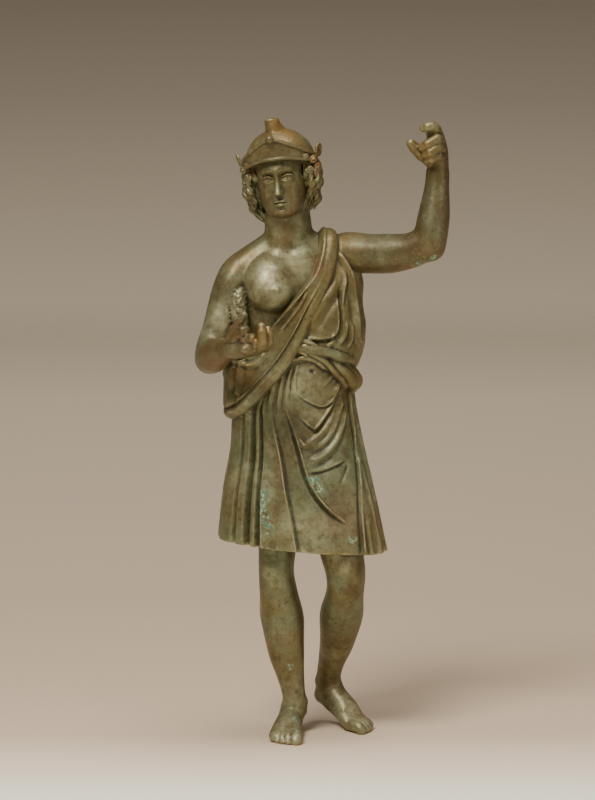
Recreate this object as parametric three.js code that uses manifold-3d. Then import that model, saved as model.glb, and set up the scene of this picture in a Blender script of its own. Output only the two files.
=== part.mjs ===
// A cast bronze statuette of a helmeted goddess, standing on her right leg with her left arm raised.
// Millimetres. X runs to the viewer's right, Y away from the viewer, Z up.
// The origin is the middle of the sole that carries the weight.
import * as THREE from 'three';
import { mergeVertices } from 'three/addons/utils/BufferGeometryUtils.js';
import Module from 'manifold-3d';

const wasm = await Module();
wasm.setup();

// Driving sizes of the figure.
const headHeight = 40;
const headWidth = 27;
const headDepth = 33;
const footLength = 46;
const hemHeight = 104; // above the floor, at the middle of the hem
const hemSlope = 0.087; // the hem drops to the viewer's right by this much per millimetre
const clothThickness = 3;
const bronze = new THREE.MeshStandardMaterial({ color: 0x6f6444, roughness: 0.42, metalness: 0.75 });

const front = new THREE.Vector3(0, -1, 0);
const up = new THREE.Vector3(0, 0, 1);
const point = (p) => new THREE.Vector3(...p);
const smooth = (low, high, value) => THREE.MathUtils.smoothstep(value, low, high);

// A curve through points whose coordinates may be places or sizes.
function through(rows) {
  return new THREE.CatmullRomCurve3(rows.map(point), false, 'catmullrom', 0.5);
}

// Two faces over four corners, split along the shorter diagonal, so that folds keep their crests.
function patch(corners, a, b, c, d) {
  const short = corners[a].distanceToSquared(corners[c]) < corners[b].distanceToSquared(corners[d]);
  return short ? [a, b, c, a, c, d] : [a, b, d, b, c, d];
}

// Closes a row of equal outlines into one skin, with a flat fan over each end.
function skin(outlines) {
  const sides = outlines[0].length;
  const corners = outlines.flat();
  const faces = [];
  for (let row = 0; row < outlines.length - 1; row++) {
    for (let i = 0; i < sides; i++) {
      const next = (i + 1) % sides;
      const a = row * sides + i;
      const b = row * sides + next;
      faces.push(...patch(corners, a, b, b + sides, a + sides));
    }
  }
  for (const [row, flip] of [[0, true], [outlines.length - 1, false]]) {
    const middle = outlines[row].reduce((sum, p) => sum.add(p), new THREE.Vector3()).divideScalar(sides);
    const hub = corners.push(middle) - 1;
    for (let i = 0; i < sides; i++) {
      const a = row * sides + i;
      const b = row * sides + ((i + 1) % sides);
      faces.push(...(flip ? [b, a, hub] : [a, b, hub]));
    }
  }
  const geometry = new THREE.BufferGeometry().setFromPoints(corners);
  geometry.setIndex(faces);
  return facingOut(geometry);
}

function facingOut(geometry) {
  const p = geometry.getAttribute('position');
  const index = geometry.index.array;
  const [a, b, c] = [new THREE.Vector3(), new THREE.Vector3(), new THREE.Vector3()];
  let volume = 0;
  for (let i = 0; i < index.length; i += 3) {
    a.fromBufferAttribute(p, index[i]);
    b.fromBufferAttribute(p, index[i + 1]);
    c.fromBufferAttribute(p, index[i + 2]);
    volume += a.dot(b.cross(c));
  }
  if (volume < 0) {
    for (let i = 0; i < index.length; i += 3) {
      [index[i + 1], index[i + 2]] = [index[i + 2], index[i + 1]];
    }
  }
  return geometry;
}

// One rounded outline. square 2 is an ellipse, and more is fuller at the corners.
function outline(centre, across, deep, halfWidth, halfDepth, sides, square = 2) {
  const bend = (value) => Math.sign(value) * Math.abs(value) ** (2 / square);
  return Array.from({ length: sides }, (_, i) => {
    const turn = (i / sides) * Math.PI * 2;
    return centre.clone()
      .addScaledVector(across, halfWidth * bend(Math.cos(turn)))
      .addScaledVector(deep, halfDepth * bend(Math.sin(turn)));
  });
}

// A limb: stations are [x, y, z, halfWidth, halfDepth], and the depth looks along facing.
// domes says how many rings round off the start and the end. None leaves that end flat.
function limb(stations, { facing = front, sides = 10, rings = 8, square = 2, domes = [0, 2] } = {}) {
  const path = through(stations.map((s) => s.slice(0, 3)));
  const girth = through(stations.map((s) => [s[3], s[4] ?? s[3], 0]));
  const outlines = [];
  const addRing = (t, shift, shrink) => {
    const tangent = path.getTangent(t);
    const across = tangent.clone().cross(facing).normalize();
    const deep = across.clone().cross(tangent).normalize();
    const size = girth.getPoint(t);
    const centre = path.getPoint(t).addScaledVector(tangent, shift * Math.min(size.x, size.y));
    outlines.push(outline(centre, across, deep, size.x * shrink, size.y * shrink, sides, square));
  };
  for (let i = 0; i < domes[0]; i++) {
    const a = ((domes[0] - i) / (domes[0] + 0.7)) * (Math.PI / 2);
    addRing(0, -Math.sin(a), Math.cos(a));
  }
  for (let i = 0; i < rings; i++) addRing(i / (rings - 1), 0, 1);
  for (let i = 1; i <= domes[1]; i++) {
    const a = (i / (domes[1] + 0.7)) * (Math.PI / 2);
    addRing(1, Math.sin(a), Math.cos(a));
  }
  return skin(outlines);
}

function ball(centre, radii, columns = 16, rows = 10) {
  const geometry = new THREE.SphereGeometry(1, columns, rows);
  geometry.scale(...radii).translate(...centre);
  return geometry;
}

function welded(geometry) {
  const plain = geometry.clone();
  plain.deleteAttribute('normal');
  plain.deleteAttribute('uv');
  return mergeVertices(plain, 1e-4);
}

function solid(geometry) {
  const plain = welded(geometry);
  return new wasm.Manifold(new wasm.Mesh({
    numProp: 3,
    vertProperties: new Float32Array(plain.getAttribute('position').array),
    triVerts: new Uint32Array(plain.index.array),
  }));
}

function joined(geometries) {
  return geometries.map(solid).reduce((whole, piece) => whole.add(piece));
}

// A fold is a soft ridge laid on the front of a cloth, along a line of [x, z] points.
// cloth lists the stations of the skin that it lies on.
function fold(cloth, points, width, rise) {
  const line = new THREE.SplineCurve(points.map(([x, z]) => new THREE.Vector2(x, z)));
  const steps = points.length < 5 ? 4 : 6;
  const stations = Array.from({ length: steps + 1 }, (_, i) => {
    const { x, y: z } = line.getPoint(i / steps);
    const full = Math.sin(Math.PI * (0.04 + (0.92 * i) / steps)) ** 0.5;
    const place = frontOf(cloth, x, z);
    return [x, place.y + rise * (0.7 - full * 0.7), z, width * full, rise * full + 0.4];
  });
  return limb(stations, { sides: 4, rings: steps + 1, domes: [0, 0] });
}

// The place on the front of a skin at a given x and height.
function frontOf(stations, x, z) {
  const path = through(stations.map((s) => s.slice(0, 3)));
  const girth = through(stations.map((s) => [s[3], s[4], 0]));
  let [low, high] = [0, 1];
  const falling = stations[0][2] > stations.at(-1)[2];
  for (let i = 0; i < 16; i++) {
    const middle = (low + high) / 2;
    if (path.getPoint(middle).z > z === falling) low = middle;
    else high = middle;
  }
  const centre = path.getPoint(low);
  const size = girth.getPoint(low);
  const share = THREE.MathUtils.clamp((x - centre.x) / size.x, -0.97, 0.97);
  return new THREE.Vector3(x, centre.y - size.y * Math.sqrt(1 - share * share), z);
}

// The bare trunk, from waist to neck: [x, y, z, halfWidth, halfDepth].
function trunk() {
  const body = limb([
    [5.5, 8, 201, 23.5, 16],
    [5.5, 7.5, 216, 25.5, 16.5],
    [5, 6.5, 232, 28.5, 18],
    [4.2, 6.5, 245, 28.5, 17],
    [3, 7, 256, 25.5, 13.5],
    [2, 7, 264, 16, 10.5],
  ], { sides: 14, rings: 6, square: 2.3, domes: [0, 0] });
  // The chest slopes down into the one bare breast.
  const breast = ball([0, 0, 0], [15, 10, 15.2], 13, 8);
  breast.rotateX(THREE.MathUtils.degToRad(-27)).translate(-8.4, -2.2, 242.5);
  const nipple = ball([-5.8, -13.4, 238.8], [1.4, 1.2, 1.4], 5, 3);
  return [body, breast, nipple];
}

function neck() {
  return limb([
    [1.5, 8, 255, 15.5, 11.5],
    [1.2, 6.5, 264, 13, 11.3],
    [0.6, 5, 273, 12, 11],
    [-0.5, 4, 288, 11.2, 10.8],
  ], { sides: 12, rings: 4, domes: [0, 0] });
}

// Both upper arms start at the neck, with the slope of the shoulder.
// The right arm hangs and its forearm comes forward, palm up.
function rightArm() {
  const upperArm = limb([
    [-2, 6.5, 266, 8, 8.5],
    [-10.5, 7, 261, 7, 8.2],
    [-18.5, 6.9, 255, 7.6, 9.2],
    [-26, 6, 248, 8.7, 10],
    [-30.8, 4, 240, 8, 10],
    [-33.8, 3, 230, 7.7, 9.2],
    [-37, 1, 219, 7.2, 8.5],
    [-40.4, -1.5, 209, 7.2, 8.2],
    [-40.8, -2, 203.5, 8, 8.4],
  ], { sides: 9, rings: 9 });
  const forearm = limb([
    [-40, 1, 204, 8, 8.6],
    [-38.5, -10, 206, 8.4, 8.2],
    [-35, -22, 209.5, 7.2, 7],
    [-30, -34, 212.5, 5.8, 5.2],
    [-28.5, -37, 213, 5.8, 4.8],
  ], { facing: up, rings: 5, domes: [2, 0] });
  // A crumb of corrosion in the armpit.
  const crumb = limb([
    [-22, 2, 241, 3.6],
    [-24.5, -4, 231, 3.6],
    [-27, -5, 219, 3.4],
  ], { sides: 5, rings: 3, domes: [0, 1] });
  return [upperArm, forearm, crumb, ...rightHand()];
}

function rightHand() {
  const palm = limb([
    [-29, -36, 213, 5.8, 4.8],
    [-24, -43, 213.5, 7.8, 5],
    [-17.5, -50, 214.5, 8, 4.4],
  ], { facing: up, sides: 8, rings: 3 });
  const forefinger = [
    [-15, -48, 214, 3],
    [-12.4, -55, 217, 2.9],
    [-12.4, -56, 223, 2.6],
    [-12.8, -54.5, 226, 2.2],
  ];
  const nextFinger = [
    [-11, -44, 214.5, 2.7],
    [-9.2, -50, 217.5, 2.5],
    [-9, -51.5, 222, 2.2],
    [-9.8, -50.5, 224, 1.9],
  ];
  const brokenStub = [
    [-22, -46, 214, 3.8],
    [-20.4, -51, 215.6, 3.8],
    [-19.4, -53.4, 218, 3.2],
  ];
  const thumb = [
    [-29.5, -38, 214.6, 4],
    [-27.6, -43, 220.8, 3.3],
    [-24.4, -45.6, 227, 2.6],
    [-21.6, -46.8, 231.4, 1.9],
  ];
  return [palm, ...[forefinger, nextFinger, brokenStub, thumb].map(finger)];
}

function finger(joints) {
  const facing = new THREE.Vector3(0.31, -1, 0.22);
  return limb(joints, { facing, sides: 5, rings: 4, domes: [0, 0] });
}

// The raised left arm, whose hand once closed on a shaft.
function leftArm() {
  const upperArm = limb([
    [4, 6.5, 266.5, 8, 8.5],
    [13.5, 7.4, 262, 7.4, 9],
    [23, 7.4, 258.4, 8.8, 10.6],
    [32, 5, 259, 10.4, 10.8],
    [43, -1, 258.8, 10, 10],
    [54, -6, 259.2, 9.8, 9.6],
    [65, -11, 261.5, 8.8, 8.8],
    [74, -14, 266.5, 8.6, 8.6],
  ], { sides: 9, rings: 8 });
  const forearm = limb([
    [74.4, -14, 264, 8.2, 8.4],
    [75.4, -14.5, 272, 8.8, 8.8],
    [76.8, -13.5, 283, 7.6, 7.6],
    [78, -12, 295, 6.1, 6.4],
    [78.6, -11, 305, 5.7, 6.4],
  ], { sides: 10, rings: 6, domes: [2, 0] });
  return [upperArm, forearm, ...leftHand()];
}

function leftHand() {
  const palm = limb([
    [78.6, -11, 303, 5.6, 6.4],
    [78.8, -10.5, 311, 5, 8],
    [77.5, -10.5, 319, 4.8, 8],
    [76, -10.5, 324, 4.2, 6.4],
  ], { sides: 8, rings: 4 });
  const forefinger = [
    [77, -12, 321.5, 3],
    [77, -17.5, 325, 3],
    [73.5, -20, 326.3, 2.7],
    [70.5, -18.5, 325.2, 2.4],
  ];
  const middleFinger = [
    [79, -13, 318, 2.9],
    [78.5, -19, 320, 2.8],
    [74, -21.5, 317.8, 2.7],
    [70, -20.5, 315.6, 2.4],
  ];
  const ringFinger = [
    [79.8, -12.5, 314, 2.8],
    [79.4, -18.5, 315.6, 2.7],
    [75, -21.5, 313.6, 2.6],
    [71.6, -20.5, 311.8, 2.3],
  ];
  const littleFinger = [
    [79.6, -12, 309.5, 2.7],
    [79, -17.5, 311, 2.6],
    [75.5, -20.5, 309.8, 2.5],
    [73, -19.5, 308.6, 2.2],
  ];
  const thumb = [
    [76, -12, 307, 3.6],
    [70.5, -15, 310.5, 3.3],
    [66.8, -17, 314.6, 2.9],
    [64, -18, 317.8, 2.5],
  ];
  return [palm, ...[forefinger, middleFinger, ringFinger, littleFinger, thumb].map(finger)];
}

// The legs, from under the skirt down: [x, y, z, halfWidth, halfDepth].
function legs() {
  const standing = limb([
    [-5.6, 5, 122, 12, 13],
    [-5.2, 4, 105, 10, 11.5],
    [-5.8, 3, 90, 9, 10.4],
    [-4.8, 4.5, 79, 9.6, 9.8],
    [-2.8, 7.5, 64, 10.8, 11],
    [-0.6, 9, 45, 9.4, 9.8],
    [1.8, 10, 31, 7, 7.6],
    [3.6, 11.5, 20, 5.8, 6.8],
    [4.2, 13, 9, 6.4, 7.2],
  ], { sides: 9, rings: 8, domes: [0, 0] });
  const free = limb([
    [26, -2, 122, 13.5, 14],
    [28.5, -5, 103, 11.4, 11.5],
    [31, -6, 90, 10.2, 10.7],
    [30.8, -2, 79, 9.6, 9.8],
    [29, 7, 65, 10.8, 11],
    [26.8, 16, 49, 9, 9.6],
    [24, 22.5, 37, 6.9, 7.4],
    [22.6, 26.8, 29, 6.2, 6.8],
    [21.8, 31, 19, 6, 6.4],
    [21, 34, 13, 4.6, 5],
  ], { sides: 9, rings: 9, domes: [0, 0] });
  return [standing, free];
}

// A right foot, toes towards -Y and the sole on z 0. A raised heel bends it at the ball.
function foot(lift) {
  const half = footLength / 2;
  const sole = limb([
    [0, half - 5, 4.6, 5.6, 4.9],
    [0, half - 10, 7, 6.4, 7.5],
    [-0.5, half - 17, 6, 6.2, 6.6],
    [-0.8, half - 26, 4.4, 7.6, 4.9],
    [-0.8, half - 34, 2.8, 8.8, 3.3],
    [-0.8, half - 38, 2.2, 8.2, 2.6],
  ], { facing: up, sides: 9, rings: 5, domes: [2, 0] });
  const bigToe = limb([
    [5.6, 9.5 - half, 3, 2.8, 3],
    [6, 2.6 - half, 2.4, 2.7, 2.5],
  ], { facing: up, sides: 6, rings: 3, domes: [0, 1] });
  // The four small toes are one row, thick at each toe and thin between.
  const steps = 8;
  const toeRow = Array.from({ length: steps + 1 }, (_, i) => {
    const s = i / steps;
    const [length, height] = i % 2 ? [5.2 - s, 2] : [3.4 - s, 1.3];
    return [2.8 - 11.2 * s, 7.8 + 5.6 * s * s - half, 1.9, length, height];
  });
  const smallToes = limb(toeRow, { facing: up, sides: 6, rings: steps + 1, domes: [0, 0] });
  return [sole, bigToe, smallToes].map((piece) => bent(piece, half - 33, lift));
}

function bent(geometry, ballPlace, lift) {
  const p = geometry.getAttribute('position');
  const swing = new THREE.Vector3();
  for (let i = 0; i < p.count; i++) {
    swing.fromBufferAttribute(p, i).setY(p.getY(i) - ballPlace);
    swing.applyAxisAngle(new THREE.Vector3(1, 0, 0), lift * smooth(-3, 9, swing.y));
    p.setXYZ(i, swing.x, swing.y + ballPlace, swing.z);
  }
  return geometry;
}

function feet() {
  const degrees = THREE.MathUtils.degToRad;
  const standing = new THREE.Matrix4().makeTranslation(0.8, 0, 0)
    .multiply(new THREE.Matrix4().makeRotationZ(degrees(-5)));
  const free = new THREE.Matrix4().makeTranslation(29.4, 22.6, 0)
    .multiply(new THREE.Matrix4().makeRotationZ(degrees(46)))
    .multiply(new THREE.Matrix4().makeScale(-1, 1, 1));
  return [
    ...foot(0).map((piece) => piece.applyMatrix4(standing)),
    ...foot(degrees(25)).map((piece) => facingOut(piece.applyMatrix4(free))),
  ];
}

// The skirt of the tunic, from the waist down: [x, y, z, halfWidth, halfDepth].
const skirtRows = [
  [6, 7, 206, 25, 21.5],
  [5, 6, 190, 29.5, 23],
  [4, 6, 175, 32, 23.5],
  [5.6, 5.5, 154, 34.3, 25],
  [6.5, 5, 131, 39, 27.5],
  [8, 5, hemHeight, 43.4, 30],
];

function skirtFolds() {
  const lines = [
    [[[-8, 190], [-2, 168], [2, 140], [6.5, 106]], 2.2, 1.6], // the long crease
    [[[-8, 190], [-0.7, 173], [5.8, 155], [15.4, 129.5], [26.9, 118], [36, 113]], 2.8, 2.2], // the sweep
    [[[-0.7, 196], [4.1, 184.5], [10.5, 168], [14.6, 165], [22.7, 171], [30, 183], [32.7, 192]], 2, 1.7],
    [[[4.1, 196], [10.5, 183.5], [18.6, 176.2], [25.1, 178.7], [28.4, 190]], 1.8, 1.5],
    [[[7.3, 158.6], [12.1, 152], [22.7, 158.6], [31.6, 173], [34, 185]], 2, 1.7],
    [[[8.5, 147], [18.6, 146.7], [26.8, 154.8], [31.6, 166], [34.5, 180]], 2, 1.8],
    [[[34.3, 181], [37, 145], [41, 102]], 2, 1.8], // the edge of the side panel
    [[[-13, 188], [-10, 166], [-8, 136]], 1.8, 1], // a gather under the cloak
  ];
  return lines.map(([points, width, rise]) => fold(skirtRows, points, width, rise));
}

// The sides and the back fall in straight pleats. The front is smooth under its folds.
function skirt() {
  const frontColumns = 8;
  const pleats = 16;
  const columnsPerPleat = 2;
  const [start, sweep] = [-0.75, Math.PI + 1.76]; // the pleated part, right round the back
  const turns = [];
  for (let i = 0; i < pleats * columnsPerPleat; i++) {
    turns.push([start + (sweep * i) / (pleats * columnsPerPleat), i % columnsPerPleat ? 1 : -1]);
  }
  const rest = Math.PI * 2 - sweep;
  for (let i = 0; i < frontColumns; i++) turns.push([start + sweep + (rest * i) / frontColumns, 0]);
  const rows = through(skirtRows.map((s) => s.slice(0, 3)));
  const girth = through(skirtRows.map((s) => [s[3], s[4], 0]));
  const ringAt = (t, inset) => {
    const centre = rows.getPoint(t);
    const size = girth.getPoint(t);
    return turns.map(([turn, pleat]) => {
      const rise = 1.6 * pleat * smooth(0.05, 0.8, t) - inset;
      const x = (size.x + rise) * Math.cos(turn);
      const drop = hemSlope * x * smooth(0.2, 1, t);
      return new THREE.Vector3(centre.x + x, centre.y + (size.y + rise) * Math.sin(turn), centre.z - drop);
    });
  };
  const outer = [0, 0.22, 0.5, 1].map((t) => ringAt(t, 0));
  const recess = 14; // how far the hollow under the hem goes up
  const lip = ringAt(1, clothThickness);
  const roof = ringAt(0.95, clothThickness + 3).map((p) => p.setZ(hemHeight + recess));
  return [skin([...outer, lip, roof]), ...skirtFolds()];
}

// The bloused top of the tunic, over the left breast: [x, y, z, halfWidth, halfDepth].
const blouseRows = [
  [22, 7, 264, 7, 10],
  [25, 6, 256, 11, 15],
  [25, 5.5, 244, 14.5, 18.5],
  [20.4, 5, 230, 22.2, 21.7],
  [16.5, 4.5, 217, 25.2, 22.5],
  [14, 5.5, 208, 25, 21.5],
  [12, 7, 203, 22, 18],
];

function blouse() {
  const lines = [
    [[[26, 263], [34, 245], [38, 216]], 1.8, 1.6],
    [[[24, 258], [29, 240], [31, 213]], 1.6, 1.3],
    [[[27, 246], [26, 231], [24, 219], [14, 213]], 2, 1.7],
  ];
  const body = limb(blouseRows, { sides: 16, rings: 7, domes: [0, 0] });
  return [body, ...lines.map(([points, width, rise]) => fold(blouseRows, points, width, rise))];
}

// The belt of the blouse and the twisted sash that thickens over the free hip.
function belts() {
  const roll = limb([
    [-2, -14, 209, 1.5, 1.6],
    [6, -17, 211, 2.4, 2.4],
    [19, -17.5, 209.5, 2.8, 2.6],
    [29.5, -12.6, 205.2, 2.8, 2.8],
    [33.6, 1, 203, 3, 3],
    [31.6, 16, 204, 3, 3],
    [20, 26, 206, 2.6, 2.6],
    [2, 27, 208, 2.4, 2.6],
    [-14, 23, 208, 2, 2.4],
  ], { sides: 6, rings: 11, facing: up, domes: [0, 0] });
  const sash = limb([
    [-4, -15, 201, 1.2, 1.4],
    [9, -16, 206.5, 1.8, 2],
    [18, -15, 204, 2.4, 2.6],
    [27, -11, 199.5, 3.6, 4],
    [32.5, -4, 193.5, 5, 6],
    [33.5, 6, 191, 5.2, 6.5],
    [29, 19, 193, 4, 4.6],
    [16, 26.5, 197, 3, 3.4],
    [0, 28, 199, 3, 3.4],
    [-16, 23, 199, 2.6, 3],
  ], { sides: 6, rings: 14, facing: up, domes: [0, 0] });
  return [roll, sash];
}

// The cloak, slung from the left shoulder to the right hip: [x, y, z, halfWidth].
const cloakPath = [
  [21.5, 8, 268.5, 4.6],
  [22.5, -3, 266.5, 4.8],
  [21.5, -11.5, 257, 5],
  [17.5, -15.5, 245, 5.6],
  [9.5, -18, 232.5, 7],
  [1, -17.5, 219, 9],
  [-7, -16, 207, 10],
  [-16, -14, 197, 11],
  [-25, -8, 189.5, 14],
  [-30.5, 3, 188, 17],
  [-27, 17, 194, 14],
  [-15, 25.5, 207, 12],
  [0, 26.5, 222, 11],
  [13, 23, 240, 9],
  [20, 17, 257, 6.5],
];

// The outside of the cloak across its width: how far from the lower edge, and how high.
// A thick roll runs along that edge, with a groove, a long fold and a thin upper rim above it.
// Where the cloth is wide, over the hip, it hangs flat between the roll and the rim.
function cloakProfile(width) {
  const roll = Math.min(2.4, 0.26 * width);
  const groove = Math.min(4.9, 0.5 * width);
  const ridge = 0.66 * width;
  const hang = 2 * smooth(20, 32, width);
  return [
    [0, 0.2],
    [roll, 3.1],
    [groove, 0.7 + hang],
    [(groove + ridge) / 2, 1.2 + hang],
    [ridge, 2.4 + hang / 2],
    [0.84 * width, 0.9 + hang],
    [width - 0.9, 1.8],
    [width, 0.3],
  ];
}

function cloak() {
  const loop = (rows) => new THREE.CatmullRomCurve3(rows.map(point), true, 'catmullrom', 0.5);
  const path = loop(cloakPath.map((s) => s.slice(0, 3)));
  const girth = loop(cloakPath.map((s) => [s[3], 0, 0]));
  const rings = 26;
  const outlines = [];
  for (let r = 0; r < rings; r++) {
    const t = r / rings;
    const centre = path.getPoint(t);
    const tangent = path.getTangent(t);
    const axis = new THREE.Vector3(5, 7, THREE.MathUtils.clamp(centre.z, 180, 250));
    const outward = centre.clone().sub(axis).projectOnPlane(tangent).normalize();
    const wideward = outward.clone().cross(tangent).normalize();
    const halfWidth = girth.getPoint(t).x;
    const place = (aside, height) => centre.clone()
      .addScaledVector(wideward, aside)
      .addScaledVector(outward, height);
    const ring = cloakProfile(halfWidth * 2).map(([d, height]) => place(halfWidth - d, height));
    ring.push(place(-0.9 * halfWidth, -clothThickness - 0.6));
    ring.push(place(0.9 * halfWidth, -clothThickness - 0.6));
    outlines.push(ring);
  }
  return hoop(outlines);
}

// Closes a loop of equal outlines, with no ends.
function hoop(outlines) {
  const sides = outlines[0].length;
  const corners = outlines.flat();
  const faces = [];
  for (let row = 0; row < outlines.length; row++) {
    const nextRow = ((row + 1) % outlines.length) * sides;
    for (let i = 0; i < sides; i++) {
      const next = (i + 1) % sides;
      faces.push(...patch(corners, row * sides + i, row * sides + next, nextRow + next, nextRow + i));
    }
  }
  const geometry = new THREE.BufferGeometry().setFromPoints(corners);
  geometry.setIndex(faces);
  return facingOut(geometry);
}

// The head, in its own frame: origin between the ears, face towards -Y.
// The face is a plain calm one, set out by the usual rules for drawing a head.
const browLine = 4.6;
const eyeLine = 0.8;
const eyeApart = headWidth / 5; // from the middle to each eye
const noseBase = -7;
const mouthLine = -11.2;
const chinLine = -16.8;
const faceRows = [ // height, half width, half depth and middle y
  [-19.9, 4.4, 4, -9.9],
  [-18.4, 7.4, 6.4, -9],
  [-16.6, 9, 7.9, -8.3],
  [-14, 10.6, 9.6, -7.2],
  [-12.5, 11.2, 10.3, -6.6],
  [-11.2, 11.6, 10.8, -6.1],
  [-9.8, 12, 11.3, -5.5],
  [-8.3, 12.4, 11.9, -4.8],
  [-6.8, 12.7, 12.4, -4.1],
  [-4.5, 13, 13.1, -3],
  [-1.5, 13.3, 13.9, -1.9],
  [0.8, 13.4, 14.5, -1.3],
  [2.8, 13.5, 15, -0.9],
  [4.6, headWidth / 2, 15.6, -0.5],
  [7, headWidth / 2, headDepth / 2, 0],
  [headHeight * 0.4, 12, 14, 1],
];

// How far the face stands out before the plain egg of the head.
function faceRise(x, z) {
  const side = Math.abs(x);
  const hill = (x0, z0, wide, tall) => Math.exp(-(((side - x0) / wide) ** 2) - ((z - z0) / tall) ** 2);
  const down = THREE.MathUtils.clamp((browLine - z) / (browLine - noseBase), 0, 1);
  const length = smooth(-browLine - 2.5, 1 - browLine, -z) * smooth(noseBase - 0.6, noseBase + 0.2, z);
  const nose = (1 + 2.9 * down) * Math.exp(-((side / (1.6 + 0.9 * down)) ** 4)) * length;
  const sockets = 2.4 * hill(eyeApart - 0.7, eyeLine + 0.8, 3.4, 2.6);
  const eyes = 1.3 * hill(eyeApart, eyeLine, 2.3, 1.5);
  const brow = 0.7 * hill(4, browLine, 5, 1.2);
  const lips = 1.5 * hill(0, mouthLine - 0.1, 3.6, 2) - 1.1 * hill(0, mouthLine - 0.1, 4, 0.5);
  const chin = 1.3 * hill(0, chinLine, 3.8, 2.2) - 0.7 * hill(0, mouthLine - 2.9, 3, 1);
  return nose - sockets + eyes + brow + lips + chin;
}

function head() {
  const shares = [0.13, 0.3, 0.48, 0.68, 0.9]; // of the half width, closest by the nose
  const frontTurns = [...shares.toReversed().map((s) => -s), 0, ...shares].map((s) => Math.asin(s));
  const backTurns = [0.5, 0.75, 1, 1.25, 1.5].map((s) => s * Math.PI);
  const outlines = faceRows.map(([z, halfWidth, halfDepth, middle]) => (
    [...frontTurns, ...backTurns].map((turn) => {
      const x = halfWidth * Math.sin(turn);
      const y = middle - halfDepth * Math.cos(turn);
      return new THREE.Vector3(x, y - faceRise(x, z) * smooth(3, 8, -y), z);
    })
  ));
  return skin(outlines);
}

// The bowl of the helmet. Its rim is high over the brow and low over the nape.
const bowlMiddle = [-0.4, 3, 7];
const bowlRadii = [18.6, 20, 18.3];

function bowl() {
  const [sides, rings] = [15, 6];
  const degrees = THREE.MathUtils.degToRad;
  const place = (i, k) => {
    const turn = (k / sides) * Math.PI * 2;
    const rim = degrees(-8 - 25 * Math.sin(turn));
    const rise = rim + (degrees(82) - rim) * (i / (rings - 1));
    const level = Math.cos(rise) * (i ? 1 : 1.05);
    return new THREE.Vector3(
      bowlMiddle[0] + bowlRadii[0] * level * Math.cos(turn),
      bowlMiddle[1] + bowlRadii[1] * level * Math.sin(turn),
      bowlMiddle[2] + bowlRadii[2] * Math.sin(rise),
    );
  };
  const ringOf = (i) => Array.from({ length: sides }, (_, k) => place(i, k));
  return skin(Array.from({ length: rings }, (_, i) => ringOf(i)));
}

function helmet() {
  const frontlet = limb([
    [-18.5, -1, 8, 1.4, 1.2],
    [-14.5, -9.5, 11, 1.6, 2.4],
    [-8, -15, 14.3, 1.6, 3.6],
    [0, -16.8, 17, 1.6, 4.8],
    [8, -15, 14.3, 1.6, 3.6],
    [14.5, -9.5, 11, 1.6, 2.4],
    [18.5, -1, 8, 1.4, 1.2],
  ], { sides: 6, rings: 9, facing: up, domes: [0, 0] });
  const knob = ball([0, -17.6, 22], [2.2, 2.2, 2.2], 6, 4);
  const stump = limb([
    [0.2, 2.5, 19.5, 8.5, 11],
    [-0.3, 2.2, 22.8, 5.8, 9],
    [-0.8, 1.2, 26, 4.2, 6.6],
    [-1.2, 0.5, 31, 3.6, 4.6],
  ], { sides: 8, rings: 4, domes: [0, 0] });
  const earPlates = [-1, 1].map((s) => {
    const plate = ball([0, 0, 0], [1.2, 3.8, 5], 7, 4);
    const lean = new THREE.Matrix4().makeRotationFromEuler(new THREE.Euler(0, s * 0.14, s * -0.47));
    return plate.applyMatrix4(lean.setPosition(s * 20.6, -0.9, 10));
  });
  return [bowl(), frontlet, knob, stump, ...earPlates];
}

// The hair is one mass that hangs from the temples to the nape in waving locks.
const hairRows = [ // height, half width, and depth before and behind the ears
  [9, 17, 7.5, 16],
  [5, 19, 8, 17],
  [1.5, 20.3, 8, 17.6],
  [-2, 20.4, 7.5, 18],
  [-5.5, 19.6, 6.6, 18],
  [-9, 18.6, 5.6, 18],
  [-12.5, 17.4, 4.8, 17.4],
  [-16, 16, 4, 16.6],
  [-19.5, 14.4, 3, 15.4],
  [-23, 11.2, 2, 13],
];

function hair() {
  const columns = 23; // locks and the gaps between them by turns, from one temple round to the other
  const degrees = THREE.MathUtils.degToRad;
  const outlines = hairRows.map(([z, halfWidth, before, behind], row) => (
    Array.from({ length: columns }, (_, i) => {
      const wave = 5 * Math.sin(row * 1.9 + i * 0.8);
      const turn = degrees(-42 + (264 * i) / (columns - 1) + (i % (columns - 1) ? wave : 0));
      const depth = turn < 0 || turn > Math.PI ? before / Math.sin(degrees(42)) : behind;
      const lock = (i % 2 ? 1.2 : -0.9) + 0.5 * Math.cos(row * 2.1 + i);
      const lean = 0.16 * Math.min(z, 0); // it hangs straight down from the tilted head
      return new THREE.Vector3(
        lean + (halfWidth + lock) * Math.cos(turn),
        1.5 + (depth + lock) * Math.sin(turn),
        z,
      );
    })
  ));
  const curls = [-1, 1].flatMap((s) => [
    ball([s * 12.6, -10.2, 8], [2.6, 2.5, 2.4], 5, 4),
    ball([s * 15.4, -6.2, 4.6], [2.7, 2.6, 2.6], 5, 4),
    ball([s * 18.6, -1.2, 5.6], [3, 3, 2.8], 5, 4),
  ]);
  return [skin(outlines), ...curls];
}

function headGroup() {
  const pose = new THREE.Matrix4().makeTranslation(-2.4, 1, 299)
    .multiply(new THREE.Matrix4().makeRotationFromEuler(new THREE.Euler(
      THREE.MathUtils.degToRad(3),
      THREE.MathUtils.degToRad(-9),
      THREE.MathUtils.degToRad(-10),
      'YXZ',
    )));
  return [head(), ...helmet(), ...hair()].map((piece) => piece.applyMatrix4(pose));
}

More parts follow.
